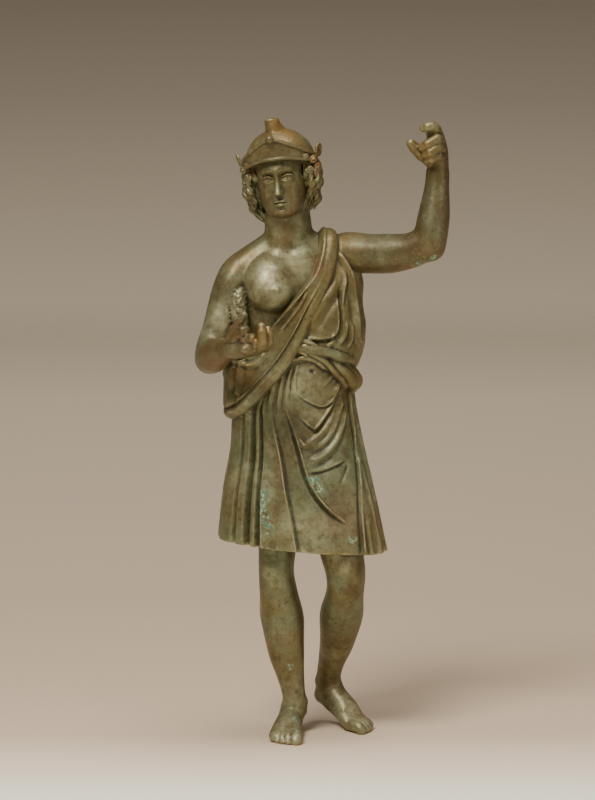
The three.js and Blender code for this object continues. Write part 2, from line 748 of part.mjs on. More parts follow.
function statuette() {
  const whole = joined([
    ...trunk(),
    neck(),
    ...rightArm(),
    ...leftArm(),
    ...legs(),
    ...feet(),
    ...skirt(),
    ...blouse(),
    ...belts(),
    cloak(),
    ...headGroup(),
  ]);
  const floor = new THREE.BoxGeometry(400, 400, 40);
  floor.translate(0, 0, -20);
  const made = whole.subtract(solid(floor)).getMesh();
  const geometry = new THREE.BufferGeometry();
  const stride = made.numProp;
  const places = new Float32Array((made.vertProperties.length / stride) * 3);
  for (let i = 0; i < places.length / 3; i++) {
    places.set(made.vertProperties.subarray(i * stride, i * stride + 3), i * 3);
  }
  geometry.setAttribute('position', new THREE.BufferAttribute(places, 3));
  geometry.setIndex(new THREE.BufferAttribute(new Uint32Array(made.triVerts), 1));
  const mesh = new THREE.Mesh(geometry, bronze);
  mesh.name = 'statuette';
  return mesh;
}

const figure = new THREE.Group();
figure.add(statuette());

export default figure;
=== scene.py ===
import math

import bpy
import numpy as np
from mathutils import Matrix, Vector


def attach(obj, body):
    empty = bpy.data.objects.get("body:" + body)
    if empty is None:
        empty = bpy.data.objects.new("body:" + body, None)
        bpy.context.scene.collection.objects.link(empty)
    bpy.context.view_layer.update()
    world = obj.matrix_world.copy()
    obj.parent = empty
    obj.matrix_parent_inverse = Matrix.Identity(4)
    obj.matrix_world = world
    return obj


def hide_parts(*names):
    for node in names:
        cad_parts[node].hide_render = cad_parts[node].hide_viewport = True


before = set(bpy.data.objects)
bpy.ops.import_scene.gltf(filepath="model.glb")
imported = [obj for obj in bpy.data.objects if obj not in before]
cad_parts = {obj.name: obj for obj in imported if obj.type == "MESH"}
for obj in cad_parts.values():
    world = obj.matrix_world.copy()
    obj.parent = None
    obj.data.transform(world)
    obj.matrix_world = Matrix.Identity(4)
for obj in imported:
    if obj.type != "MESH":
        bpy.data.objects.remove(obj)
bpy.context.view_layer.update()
print("loaded the frame")

# Shapes are worked out in millimetres and scaled once, when the casting is finished.
# X runs to the viewer's right, Y away from the viewer, Z up.
millimetre = 0.001
front = (0.0, -1.0, 0.0)
up = (0.0, 0.0, 1.0)
fullTurn = 2 * math.pi

casting = {
    "fleshVoxel": 0.8,  # the bare body is melted together first, so that its joints are soft
    "fleshRelax": 34,
    "fleshSwell": 0.5,  # what the relaxing takes away
    "voxel": 0.42,
    "quickCoarser": 1.6,
    "headCentre": (-2.4, 1, 299),  # the head is melted finer than the rest
    "headReach": 27,
    "headFiner": 1.7,
    "relax": 2,
    "triangles": 197000,
    "sandSizes": (2.6, 5.5),  # unevenness of the cast skin
    "sandDepth": 0.07,
    # rounds of relaxing that show how hollow a place lies, and the depth that counts as all hollow
    "hollowness": {"fine": (6, 0.16), "broad": (50, 0.7)},
}


def unit(v):
    return v / np.maximum(np.linalg.norm(v, axis=-1, keepdims=True), 1e-9)


def smooth(low, high, value):
    s = np.clip((value - low) / (high - low), 0, 1)
    return s * s * (3 - 2 * s)


def faded(afterStart, beforeEnd, fade):  # 1, dying away over a share of the way at each end
    start, end = fade
    return (smooth(0, start, afterStart) if start else 1) * (smooth(0, end, beforeEnd) if end else 1)


def bell(value, middle, width):
    return np.exp(-((value - middle) / width) ** 2)


def near(spots, centre, radius):
    return np.exp(-((np.asarray(spots) - centre) ** 2).sum(-1) / radius ** 2)


def heaped(spots, mounds, start=0):  # height of soft mounds and hollows: x, y, z, radius and height of each
    return sum((height * near(spots, place, radius) for *place, radius, height in mounds), start)


def turns(count):
    return np.linspace(0, fullTurn, count, endpoint=False)


def curve(rows, t, loop=False):  # points and directions on a soft curve through the rows
    rows = np.asarray(rows, float)
    if loop:
        rows = np.vstack([rows[-1:], rows, rows[:2]])
    else:
        rows = np.vstack([2 * rows[0] - rows[1], rows, 2 * rows[-1] - rows[-2]])
    spans = len(rows) - 3
    place = np.clip(t, 0, 1) * spans
    k = np.minimum(place.astype(int), spans - 1)
    u = (place - k)[:, None]
    a, b, c, d = (rows[k + i] for i in range(4))
    bow = 2 * a - 5 * b + 4 * c - d
    twist = 3 * (b - c) + d - a
    spot = b + 0.5 * u * (c - a + u * (bow + u * twist))
    slope = 0.5 * (c - a) + u * bow + 1.5 * u * u * twist
    return spot, unit(slope)


def skin(rings, loop=False):  # closes rows of points into one skin, with a fan over each end
    rows, sides = rings.shape[:2]
    spots = rings.reshape(-1, 3)
    r, k = np.meshgrid(np.arange(rows if loop else rows - 1), np.arange(sides), indexing="ij")
    a, b = r * sides + k, r * sides + (k + 1) % sides
    d, c = (r + 1) % rows * sides + k, (r + 1) % rows * sides + (k + 1) % sides
    faces = [np.stack([a, b, c], -1).reshape(-1, 3), np.stack([a, c, d], -1).reshape(-1, 3)]
    if not loop:
        k = np.arange(sides)
        last = (rows - 1) * sides
        faces.append(np.stack([(k + 1) % sides, k, np.full(sides, len(spots))], -1))
        faces.append(np.stack([last + k, last + (k + 1) % sides, np.full(sides, len(spots) + 1)], -1))
        spots = np.vstack([spots, rings[[0, -1]].mean(axis=1)])
    faces = np.vstack(faces)
    a, b, c = (spots[faces[:, i]] for i in range(3))
    if np.einsum("ij,ij->", a, np.cross(b, c)) < 0:
        faces = faces[:, ::-1]
    return spots, faces


def squared(v, square):  # a circle's coordinate, drawn out towards a square
    return np.sign(v) * np.abs(v) ** (2 / square)


def loft(stations, facing=front, sides=40, rings=48, square=2.0, domes=(0, 5)):
    # stations are x, y, z, half width and half depth, and the depth looks along facing
    table = np.array([list(s) + [s[3]] * (5 - len(s)) for s in stations], float)
    starts = np.array([(domes[0] - i) / (domes[0] + 0.4) for i in range(domes[0])]) * math.pi / 2
    ends = np.array([i / (domes[1] + 0.4) for i in range(1, domes[1] + 1)]) * math.pi / 2
    t = np.concatenate([np.zeros(domes[0]), np.linspace(0, 1, rings), np.ones(domes[1])])
    shift = np.concatenate([-np.sin(starts), np.zeros(rings), np.sin(ends)])
    shrink = np.concatenate([np.cos(starts), np.ones(rings), np.cos(ends)])[:, None]
    centre, tangent = curve(table[:, :3], t)
    size, _ = curve(table[:, 3:], t)
    across = unit(np.cross(tangent, facing))
    deep = unit(np.cross(across, tangent))
    centre = centre + tangent * (shift * size.min(axis=1))[:, None]
    turn = turns(sides)
    wide = size[:, :1] * shrink * squared(np.cos(turn), square)
    tall = size[:, 1:] * shrink * squared(np.sin(turn), square)
    return centre[:, None] + across[:, None] * wide[..., None] + deep[:, None] * tall[..., None]


def ball(centre, radii, sides=36, rows=20):
    rise = np.linspace(-math.pi / 2, math.pi / 2, rows + 2)[1:-1, None]
    turn = turns(sides)
    spots = np.stack([np.cos(rise) * np.cos(turn), np.cos(rise) * np.sin(turn), np.sin(rise) + 0 * turn], -1)
    return skin(spots * np.array(radii) + np.array(centre))


def strand(points, girth, rings=40, sides=10, loop=False):  # a round cord that never twists
    t = np.linspace(0, 1, rings, endpoint=not loop)
    centre, tangent = curve(points, t, loop)
    radius, _ = curve(np.array(girth, float)[:, None] * [1, 0], t, loop)
    side = np.cross(tangent[0], (0.31, 0.83, 0.46))  # any direction that no cord starts along
    turn = turns(sides)[:, None]
    rows = []
    for spot, along, r in zip(centre, tangent, radius[:, 0]):
        side = unit(side - along * np.dot(side, along))
        rows.append(spot + r * (np.cos(turn) * side + np.sin(turn) * np.cross(along, side)))
    return skin(np.array(rows), loop)


def pushOut(rings, rise, loop=False):  # moves a skin's points along their own normals
    along = np.roll(rings, -1, 0) - np.roll(rings, 1, 0) if loop else np.gradient(rings, axis=0)
    around = np.roll(rings, -1, 1) - np.roll(rings, 1, 1)
    normal = unit(np.cross(around, along))
    outward = rings - rings.mean(axis=1, keepdims=True)
    normal = normal * np.sign((normal * outward).sum())
    return rings + normal * np.asarray(rise)[..., None]


def together(pieces):
    spots, faces, count = [], [], 0
    for pieceSpots, pieceFaces in pieces:
        spots.append(pieceSpots)
        faces.append(pieceFaces + count)
        count += len(pieceSpots)
    return np.vstack(spots), np.vstack(faces)


def moved(piece, matrix):
    turn = np.array(matrix.to_3x3())
    return piece[0] @ turn.T + np.array(matrix.translation), piece[1]


def mirrored(piece):
    return piece[0] * [-1, 1, 1], piece[1][:, ::-1]


def meshOf(name, spots, faces):
    mesh = bpy.data.meshes.new(name)
    mesh.vertices.add(len(spots))
    mesh.vertices.foreach_set("co", np.ascontiguousarray(spots, dtype=np.float32).ravel())
    mesh.loops.add(faces.size)
    mesh.polygons.add(len(faces))
    mesh.polygons.foreach_set("loop_start", np.arange(0, faces.size, faces.shape[1], dtype=np.int32))
    mesh.loops.foreach_set("vertex_index", np.ascontiguousarray(faces, dtype=np.int32).ravel())
    mesh.update(calc_edges=True)
    return mesh


def worked(name, spots, faces, steps, marks=None):  # runs Blender's modifiers and reads the result
    piece = bpy.data.objects.new(name, meshOf(name, spots, faces))
    bpy.context.scene.collection.objects.link(piece)
    for layer, values in (marks or {}).items():
        attribute = piece.data.attributes.new(layer, "FLOAT", "POINT")
        attribute.data.foreach_set("value", values.astype(np.float32))
    for kind, settings in steps:
        modifier = piece.modifiers.new(kind.lower(), kind)
        for key, value in settings.items():
            setattr(modifier, key, value)
    done = bpy.data.meshes.new_from_object(piece.evaluated_get(bpy.context.evaluated_depsgraph_get()))
    old = piece.data
    bpy.data.objects.remove(piece)
    bpy.data.meshes.remove(old)
    return done


def fused(name, pieces, voxel, rounds):  # melts pieces into one skin and relaxes it
    steps = [
        ("REMESH", {"mode": "VOXEL", "voxel_size": voxel}),
        ("SMOOTH", {"factor": 0.5, "iterations": rounds}),
    ]
    return worked(name, *together(pieces), steps)


def readOut(items, key, kind=np.float32):
    values = np.empty(len(items) * 3, kind)
    items.foreach_get(key, values)
    return values.reshape(-1, 3)


def spotsOf(mesh):
    return readOut(mesh.vertices, "co").astype(float)


def normalsOf(mesh):
    return readOut(mesh.vertex_normals, "vector").astype(float)


def facesOf(mesh):
    mesh.calc_loop_triangles()
    return readOut(mesh.loop_triangles, "vertices", np.int32)


def grain(spots, size, seed):  # soft random unevenness from 0 to 1, the same on every run
    lattice = np.random.default_rng(seed).random((32, 32, 32))
    place = np.asarray(spots) / size + 100
    low = np.floor(place).astype(int)
    f = place - low
    f = f * f * (3 - 2 * f)
    total = 0
    for corner in range(8):
        pick = np.array([corner & 1, corner >> 1 & 1, corner >> 2 & 1])
        weight = np.prod(np.where(pick, f, 1 - f), axis=-1)
        i, j, k = np.moveaxis((low + pick) % 32, -1, 0)
        total = total + weight * lattice[i, j, k]
    return total


# The bare body: trunk, neck, arms and legs.
body = {
    "trunk": [
        [5.5, 8, 201, 23.5, 16], [5.5, 7.5, 216, 25.5, 16.5], [5, 6.5, 232, 28.5, 18],
        [4.2, 6.5, 245, 28.5, 17], [3, 7, 256, 25.5, 13.5], [2, 7, 264, 16, 10.5],
    ],
    "breast": ([0, 0, 0], [14.8, 11.0, 18.0]),
    "breastPlace": Matrix.Translation((-7.4, -2.9, 244.4)) @ Matrix.Rotation(math.radians(-36), 4, "X"),
    "neck": [
        [1.5, 8, 255, 15.5, 11.5], [1.2, 6.5, 264, 13, 11.3], [0.6, 5, 273, 12, 11],
        [-0.5, 4, 288, 11.2, 10.8],
    ],
    # both upper arms start at the neck, with the slope of the shoulder
    "rightUpperArm": [
        [-2, 6.5, 266, 8, 8.5], [-10.5, 7, 261, 7, 8.2], [-18.5, 6.9, 255, 7.6, 9.2],
        [-26, 6, 248, 8.7, 10], [-30.8, 4, 240, 8, 10], [-33.8, 3, 230, 7.7, 9.2], [-37, 1, 219, 7.2, 8.5],
        [-40.4, -1.5, 209, 7.2, 8.2], [-40.7, -2, 203.5, 7.8, 8.4],
    ],
    "rightForearm": [
        [-40, 1, 204, 8, 8.6], [-38.5, -10, 206, 8.4, 8.2], [-35, -22, 209.5, 7.2, 7],
        [-30, -34, 212.5, 5.8, 5.2], [-28.5, -37, 213, 5.8, 4.8],
    ],
    "leftUpperArm": [
        [4, 6.5, 266.5, 8, 8.5], [13.5, 7.4, 262, 7.4, 9], [23, 7.4, 258.4, 8.8, 10.6],
        [32, 5, 259, 10.4, 10.8], [43, -1, 258.8, 10, 10], [54, -6, 259.2, 9.8, 9.6],
        [65, -11, 261.5, 8.8, 8.8], [74, -14, 266.5, 8.6, 8.6],
    ],
    "leftForearm": [
        [74.3, -14, 264, 8.0, 8.4], [75.2, -14.5, 272, 8.4, 8.8], [76.8, -13.5, 283, 7.6, 7.6],
        [78, -12, 295, 6.1, 6.4], [78.6, -11, 305, 5.7, 6.4],
    ],
    "standingLeg": [
        [-5.6, 5, 122, 12, 13], [-5.2, 4, 105, 10, 11.5], [-5.8, 3, 90, 9, 10.4],
        [-4.8, 4.5, 79, 9.6, 9.8], [-2.8, 7.5, 64, 10.8, 11], [-0.6, 9, 45, 9.4, 9.8],
        [1.8, 10, 31, 7, 7.6], [3.6, 11.5, 20, 5.8, 6.8], [4.2, 13, 9, 6.4, 7.2],
    ],
    "freeLeg": [
        [26, -2, 122, 13.5, 14], [28.5, -5, 103, 11.4, 11.5], [31, -6, 90, 10.2, 10.7],
        [30.8, -2, 79, 9.6, 9.8], [29, 7, 65, 10.8, 11], [26.8, 16, 49, 9, 9.6], [24, 22.5, 37, 6.9, 7.4],
        [22.6, 26.8, 29, 6.2, 6.8], [21.8, 31, 19, 6, 6.4], [21, 34, 13, 4.6, 5],
    ],
    "mounds": [  # place, radius and rise of each muscle, bone or hollow
        [-12, -4.5, 258, 5, 0.7],  # collar bones
        [-5, -5.5, 260.5, 3.8, 0.7], [-7, -10, 256, 6, 0.8], [9.5, -4.5, 261, 3.6, 0.6],
        [2, -5, 262.5, 2.6, -1.2],  # the pit of the throat
        [-5.5, -3.5, 270, 3.2, 0.7],  # the neck's long muscles
        [6.5, -3.5, 270, 3.2, 0.7],
        [-27, -3, 248, 7.5, 0.8],  # shoulder
        [-20.5, -4.5, 240, 3.6, -1.0],  # before the armpit
        [-5.2, -16.2, 240.8, 1.5, 1.8],  # nipple
        [-17, -6, 229, 4, -0.9],  # under the breast
        [-7, -11, 226, 5, -1.3],
        [-35.5, -7.5, 226, 6, 0.5],  # biceps
        [-44, 5, 204, 4, 0.4],  # right elbow
        [-38, -3, 214.5, 3.5, -0.6],  # inside of the elbow
        [-39, -13, 199.5, 6, 0.4], [34, -4, 262, 7, 0.6], [52, -7, 266, 9, 0.5],
        [79.5, -11, 261, 4.5, 0.3],  # left elbow
        [70.5, -17, 272.5, 3.5, -0.8], [80.5, -13, 278, 6, 0.2],
        [-6.4, -7.2, 92, 5, 0.9],  # right knee
        [-9.6, -5, 86, 3, -0.4], [-1.4, -5, 86, 3, -0.4], [-5.6, -6, 82, 3.2, 0.35],
        [-10.5, 12, 66, 8, 0.7],  # calf
        [5.5, 12, 62, 7, 0.7],
        [-3.5, -3, 62, 5, 0.3],  # shin
        [0.5, 2, 40, 5, 0.25],
        [10.4, 11, 16.5, 3, 1.2],  # right ankle bones
        [-2.4, 14, 14, 3, 1.0], [4, 19.5, 14, 3.5, 0.5],
        [30.5, -16.5, 93, 5, 0.9],  # left knee
        [35, -13, 87, 3.4, 0.3], [26.5, -13, 86, 3, -0.4], [36.5, 10, 66, 8, 0.6], [20.5, 11, 66, 7, 0.6],
        [17, 27.5, 24.5, 3, 1.0],  # left ankle bones
        [28.2, 27, 22.5, 3, 1.0],
        [-14, 24, 244, 9, 0.9],  # right shoulder blade
        [1.5, 25, 242, 4.5, -0.7],  # spine
    ],
}


def bareBody():
    pieces = [
        skin(loft(body["trunk"], sides=72, rings=60, square=2.3, domes=(0, 0))),
        moved(ball(*body["breast"], sides=64, rows=40), body["breastPlace"]),
        skin(loft(body["neck"], sides=56, rings=30, domes=(0, 0))),
        skin(loft(body["rightUpperArm"], rings=80)),
        skin(loft(body["rightForearm"], facing=up, rings=50, domes=(6, 0))),
        skin(loft(body["leftUpperArm"], rings=80)),
        skin(loft(body["leftForearm"], rings=50, domes=(6, 0))),
        skin(loft(body["standingLeg"], rings=90, domes=(0, 0))),
        skin(loft(body["freeLeg"], rings=90, domes=(0, 0))),
    ]
    mesh = fused("bareBody", pieces + bothFeet(toes=False), casting["fleshVoxel"], casting["fleshRelax"])
    spots, normals, faces = spotsOf(mesh), normalsOf(mesh), facesOf(mesh)
    bpy.data.meshes.remove(mesh)
    rise = casting["fleshSwell"] + heaped(spots, body["mounds"])
    return [(spots + normals * rise[:, None], faces)]


# The hands. The right one lies open, and the left one is closed around a shaft that is lost.
hands = {
    "look": (0.31, -1.0, 0.22),
    "rightPalm": [
        [-29.6, -34.5, 212.8, 5.7, 4.9], [-27, -39, 213, 6.9, 5.1], [-23, -44, 213.4, 8, 4.9],
        [-17.5, -50, 214.4, 8, 4.0],
    ],
    "rightFingers": [  # each joint is x, y, z and radius
        [[-18, -45, 213.8, 3], [-15, -50, 214, 3], [-12.6, -54.4, 217, 2.8], [-12.3, -55.3, 220.5, 2.6],
         [-12.5, -54.9, 223.6, 2.4], [-12.8, -54.1, 226.4, 2.0]],
        [[-14, -42, 214.2, 2.6], [-11, -46, 214.5, 2.7], [-9.3, -50, 217.4, 2.5], [-9, -51.3, 220, 2.3],
         [-9.2, -51.2, 222.2, 2.1], [-9.7, -50.4, 224.4, 1.8]],
        [[-29.5, -38, 214.4, 3.9], [-27.8, -43, 220.8, 3.0], [-24.6, -45.6, 227, 2.4],
         [-21.8, -46.8, 231.6, 1.7]],
    ],
    # the first two fingers are broken away, and the break rises towards the thumb
    "rightBreak": [
        [[-28, -40, 214, 4.4], [-24.6, -45, 219.5, 4.2], [-21.6, -48.6, 223, 3.4]],
        [[-24.6, -43.5, 213.6, 4.2], [-20.4, -49.6, 217, 3.8], [-18, -52.6, 220, 2.9]],
        [[-21, -46, 213.6, 3.8], [-17, -51.6, 215.6, 3.4], [-15, -54, 217.6, 2.6]],
    ],
    "leftPalm": [
        [78.6, -11, 303, 5.7, 6.4], [79, -10.6, 308, 5.1, 7.2], [78.8, -10.4, 313, 5, 8],
        [77.5, -10.4, 319, 4.8, 8], [76.2, -10.5, 323.8, 4.2, 6.6],
    ],
    "leftFingers": [
        [[77.4, -11, 320.5, 3], [77.4, -16, 323.6, 3], [76, -19.2, 325.8, 2.8], [73.4, -20.4, 326.3, 2.6],
         [70.6, -18.9, 325.4, 2.2]],
        [[79, -12, 317.8, 2.9], [79, -17.4, 319.2, 2.9], [77.2, -20.7, 319.6, 2.8],
         [73.6, -21.6, 317.8, 2.6],
         [70, -20.6, 315.7, 2.3]],
        [[79.8, -12, 313.8, 2.8], [79.7, -17, 315, 2.8], [78, -20.6, 315.4, 2.7], [74.8, -21.7, 313.5, 2.5],
         [71.6, -20.7, 311.8, 2.2]],
        [[79.6, -11.5, 309.4, 2.7], [79.3, -16.4, 310.7, 2.7], [78, -19.8, 311, 2.6],
         [75.3, -20.7, 309.8, 2.4],
         [73, -19.7, 308.7, 2.1]],
        [[77, -11.5, 305.5, 3.5], [73.4, -13.8, 309, 3.4], [69.6, -15.7, 311.8, 3.1],
         [66.6, -17.1, 314.8, 2.9],
         [64.2, -18, 317.6, 2.5]],
    ],
    "knuckles": [[0.42, 0.05, 0.28], [0.72, 0.045, 0.22]],  # share along a finger, width and height
    "palmHollow": [[-22, -45, 219, 5.5, -1.1]],
    "tornSize": 2.3,
    "tornDepth": 2.4,
    "tornFrom": (-47, -50),
}


def fingers(joints):
    made = []
    for row in joints:
        rings = loft(row, facing=hands["look"], sides=24, rings=40)
        t = np.linspace(0, 1, len(rings))[:, None] + 0 * rings[..., 0]
        knuckles = sum(height * bell(t, place, width) for place, width, height in hands["knuckles"])
        made.append(skin(pushOut(rings, knuckles)))
    return made


def bothHands():
    rightPalm = loft(hands["rightPalm"], facing=up, rings=40)
    rightPalm = pushOut(rightPalm, heaped(rightPalm, hands["palmHollow"]))
    made = [skin(rightPalm), skin(loft(hands["leftPalm"], rings=40))]
    for row in hands["rightBreak"]:
        stub = loft(row, facing=up, sides=36, rings=40, domes=(0, 3))
        torn = np.abs(grain(stub, hands["tornSize"], 11) - 0.5) - 0.2
        made.append(skin(pushOut(stub, hands["tornDepth"] * torn * smooth(*hands["tornFrom"], stub[..., 1]))))
    return made + fingers(hands["rightFingers"] + hands["leftFingers"])


# The feet are one right foot, toes towards -Y, used once as it is and once mirrored and bent.
feet = {
    "sole": [
        [0, 18, 4.6, 5.6, 4.9], [0, 13, 7, 6.4, 7.5], [-0.5, 6, 6.4, 6.2, 7.0], [-0.8, -3, 4.6, 7.6, 5.2],
        [-0.8, -11, 3.1, 8.8, 3.7], [-0.8, -15, 2.4, 8.3, 2.9],
    ],
    "toes": [  # x and tip y of each toe, and its radius
        [5.7, -22.6, 2.75], [1.5, -21.6, 1.75], [-1.6, -20.4, 1.65], [-4.4, -18.6, 1.6],
        [-7.0, -16.2, 1.5],
    ],
    "bigToeHigh": 1.15,  # height of the toes by their width
    "toeHigh": 1.35,
    "instep": [[0.5, -3, 11, 6, 0.9]],
    "ball": -10,  # the free foot bends here
    "bendOver": (-3, 9),
    "lift": 25,
    "standing": ((0.8, 0, 0), -5),
    "free": ((29.4, 22.6, 0), 46),
}


def foot(lift, toes):
    sole = loft(feet["sole"], facing=up, sides=48, rings=60, domes=(6, 2))
    made = [skin(pushOut(sole, heaped(sole, feet["instep"])))]
    for i, (x, tip, radius) in enumerate(feet["toes"] if toes else []):
        high = feet["toeHigh"] if i else feet["bigToeHigh"]
        toe = loft([
            [x * 0.9, tip + 11.5, 3.6, radius * 0.95, radius * high],
            [x, tip + 6.6, 3.5, radius, radius * high],
            [x, tip + 3.8, 2.9, radius * 1.02, radius * high * 0.96],
            [x, tip + radius, 1.7, radius, radius],
        ], facing=up, sides=24, rings=26)
        nail = [x, tip + 0.9, 1.7 + radius * 1.1, radius * 0.7, -0.3]
        joint = [x, tip + 5, 5.4, radius, 0.3]
        made.append(skin(pushOut(toe, heaped(toe, [nail, joint]))))
    spots, faces = together(made)
    x, y, z = spots.T
    y = y - feet["ball"]
    bend = math.radians(lift) * smooth(*feet["bendOver"], y)
    bentY = y * np.cos(bend) - z * np.sin(bend) + feet["ball"]
    return np.stack([x, bentY, y * np.sin(bend) + z * np.cos(bend)], -1), faces


def bothFeet(toes=True):  # without toes they are also melted with the legs, so that the ankles are soft
    made = []
    standing, free = foot(0, toes), mirrored(foot(feet["lift"], toes))
    for piece, (place, turn) in ((standing, feet["standing"]), (free, feet["free"])):
        made.append(moved(piece, Matrix.Translation(place) @ Matrix.Rotation(math.radians(turn), 4, "Z")))
    return made


# Folds are drawn on the front of a cloth as lines of x and z.
def ridge(width, rise, *line, fade=(0.25, 0.25)):  # even on both sides, and fading over a share of its ends
    return {"width": width, "rise": rise, "line": line, "fade": fade}


def step(side, width, rise, groove, *line, fade=(0.25, 0.25)):  # high on one side of a groove, then lower
    return {"side": side, "width": width, "rise": rise, "groove": groove, "line": line, "fade": fade}


def besideLine(x, z, points):  # signed distance from a line, and how far along it
    line, _ = curve(points, np.linspace(0, 1, 14))
    gap, side, share = np.full(x.shape, 1e9), np.zeros(x.shape), np.zeros(x.shape)
    for i in range(len(line) - 1):
        (ax, az), (dx, dz) = line[i], line[i + 1] - line[i]
        along = np.clip(((x - ax) * dx + (z - az) * dz) / (dx * dx + dz * dz), 0, 1)
        ox, oz = x - ax - along * dx, z - az - along * dz
        reach = np.hypot(ox, oz)
        closer = reach < gap
        gap = np.where(closer, reach, gap)
        side = np.where(closer, np.sign(dx * oz - dz * ox), side)
        share = np.where(closer, (i + along) / (len(line) - 1), share)
    return gap * side, share


foldShape = {
    "lip": (0.55, 0.75, 0.65),  # height, place and width of a step's sharp lip
    "slope": 0.6,  # height of the slow slope behind the lip
    "wall": 0.45,  # width of the wall between the groove and the lip
    "groove": (-0.45, 0.85),  # place and width of the groove
    "trough": (0.4, 1.9, 0.8),  # depth, place and width of the hollows beside a ridge, by its own size
}


def foldRise(x, z, folds):
    lip, lipPlace, lipWidth = foldShape["lip"]
    trough, troughPlace, troughWidth = foldShape["trough"]
    total = np.zeros(x.shape)
    for fold in folds:
        d, share = besideLine(x, z, fold["line"])
        width = fold["width"]
        if "side" in fold:
            e = d * fold["side"]
            slope = lip * bell(e, lipPlace, lipWidth) + foldShape["slope"] * bell(e, 0, width)
            wall = np.where(e > 0, (1 - bell(e, 0, foldShape["wall"])) * slope, 0)
            shape = fold["rise"] * wall - fold["groove"] * bell(e, *foldShape["groove"])
        else:
            beside = trough * bell(np.abs(d), troughPlace * width, troughWidth * width)
            shape = fold["rise"] * (bell(d, 0, width) - beside)
        total += shape * faded(share, 1 - share, fold["fade"])
    return total


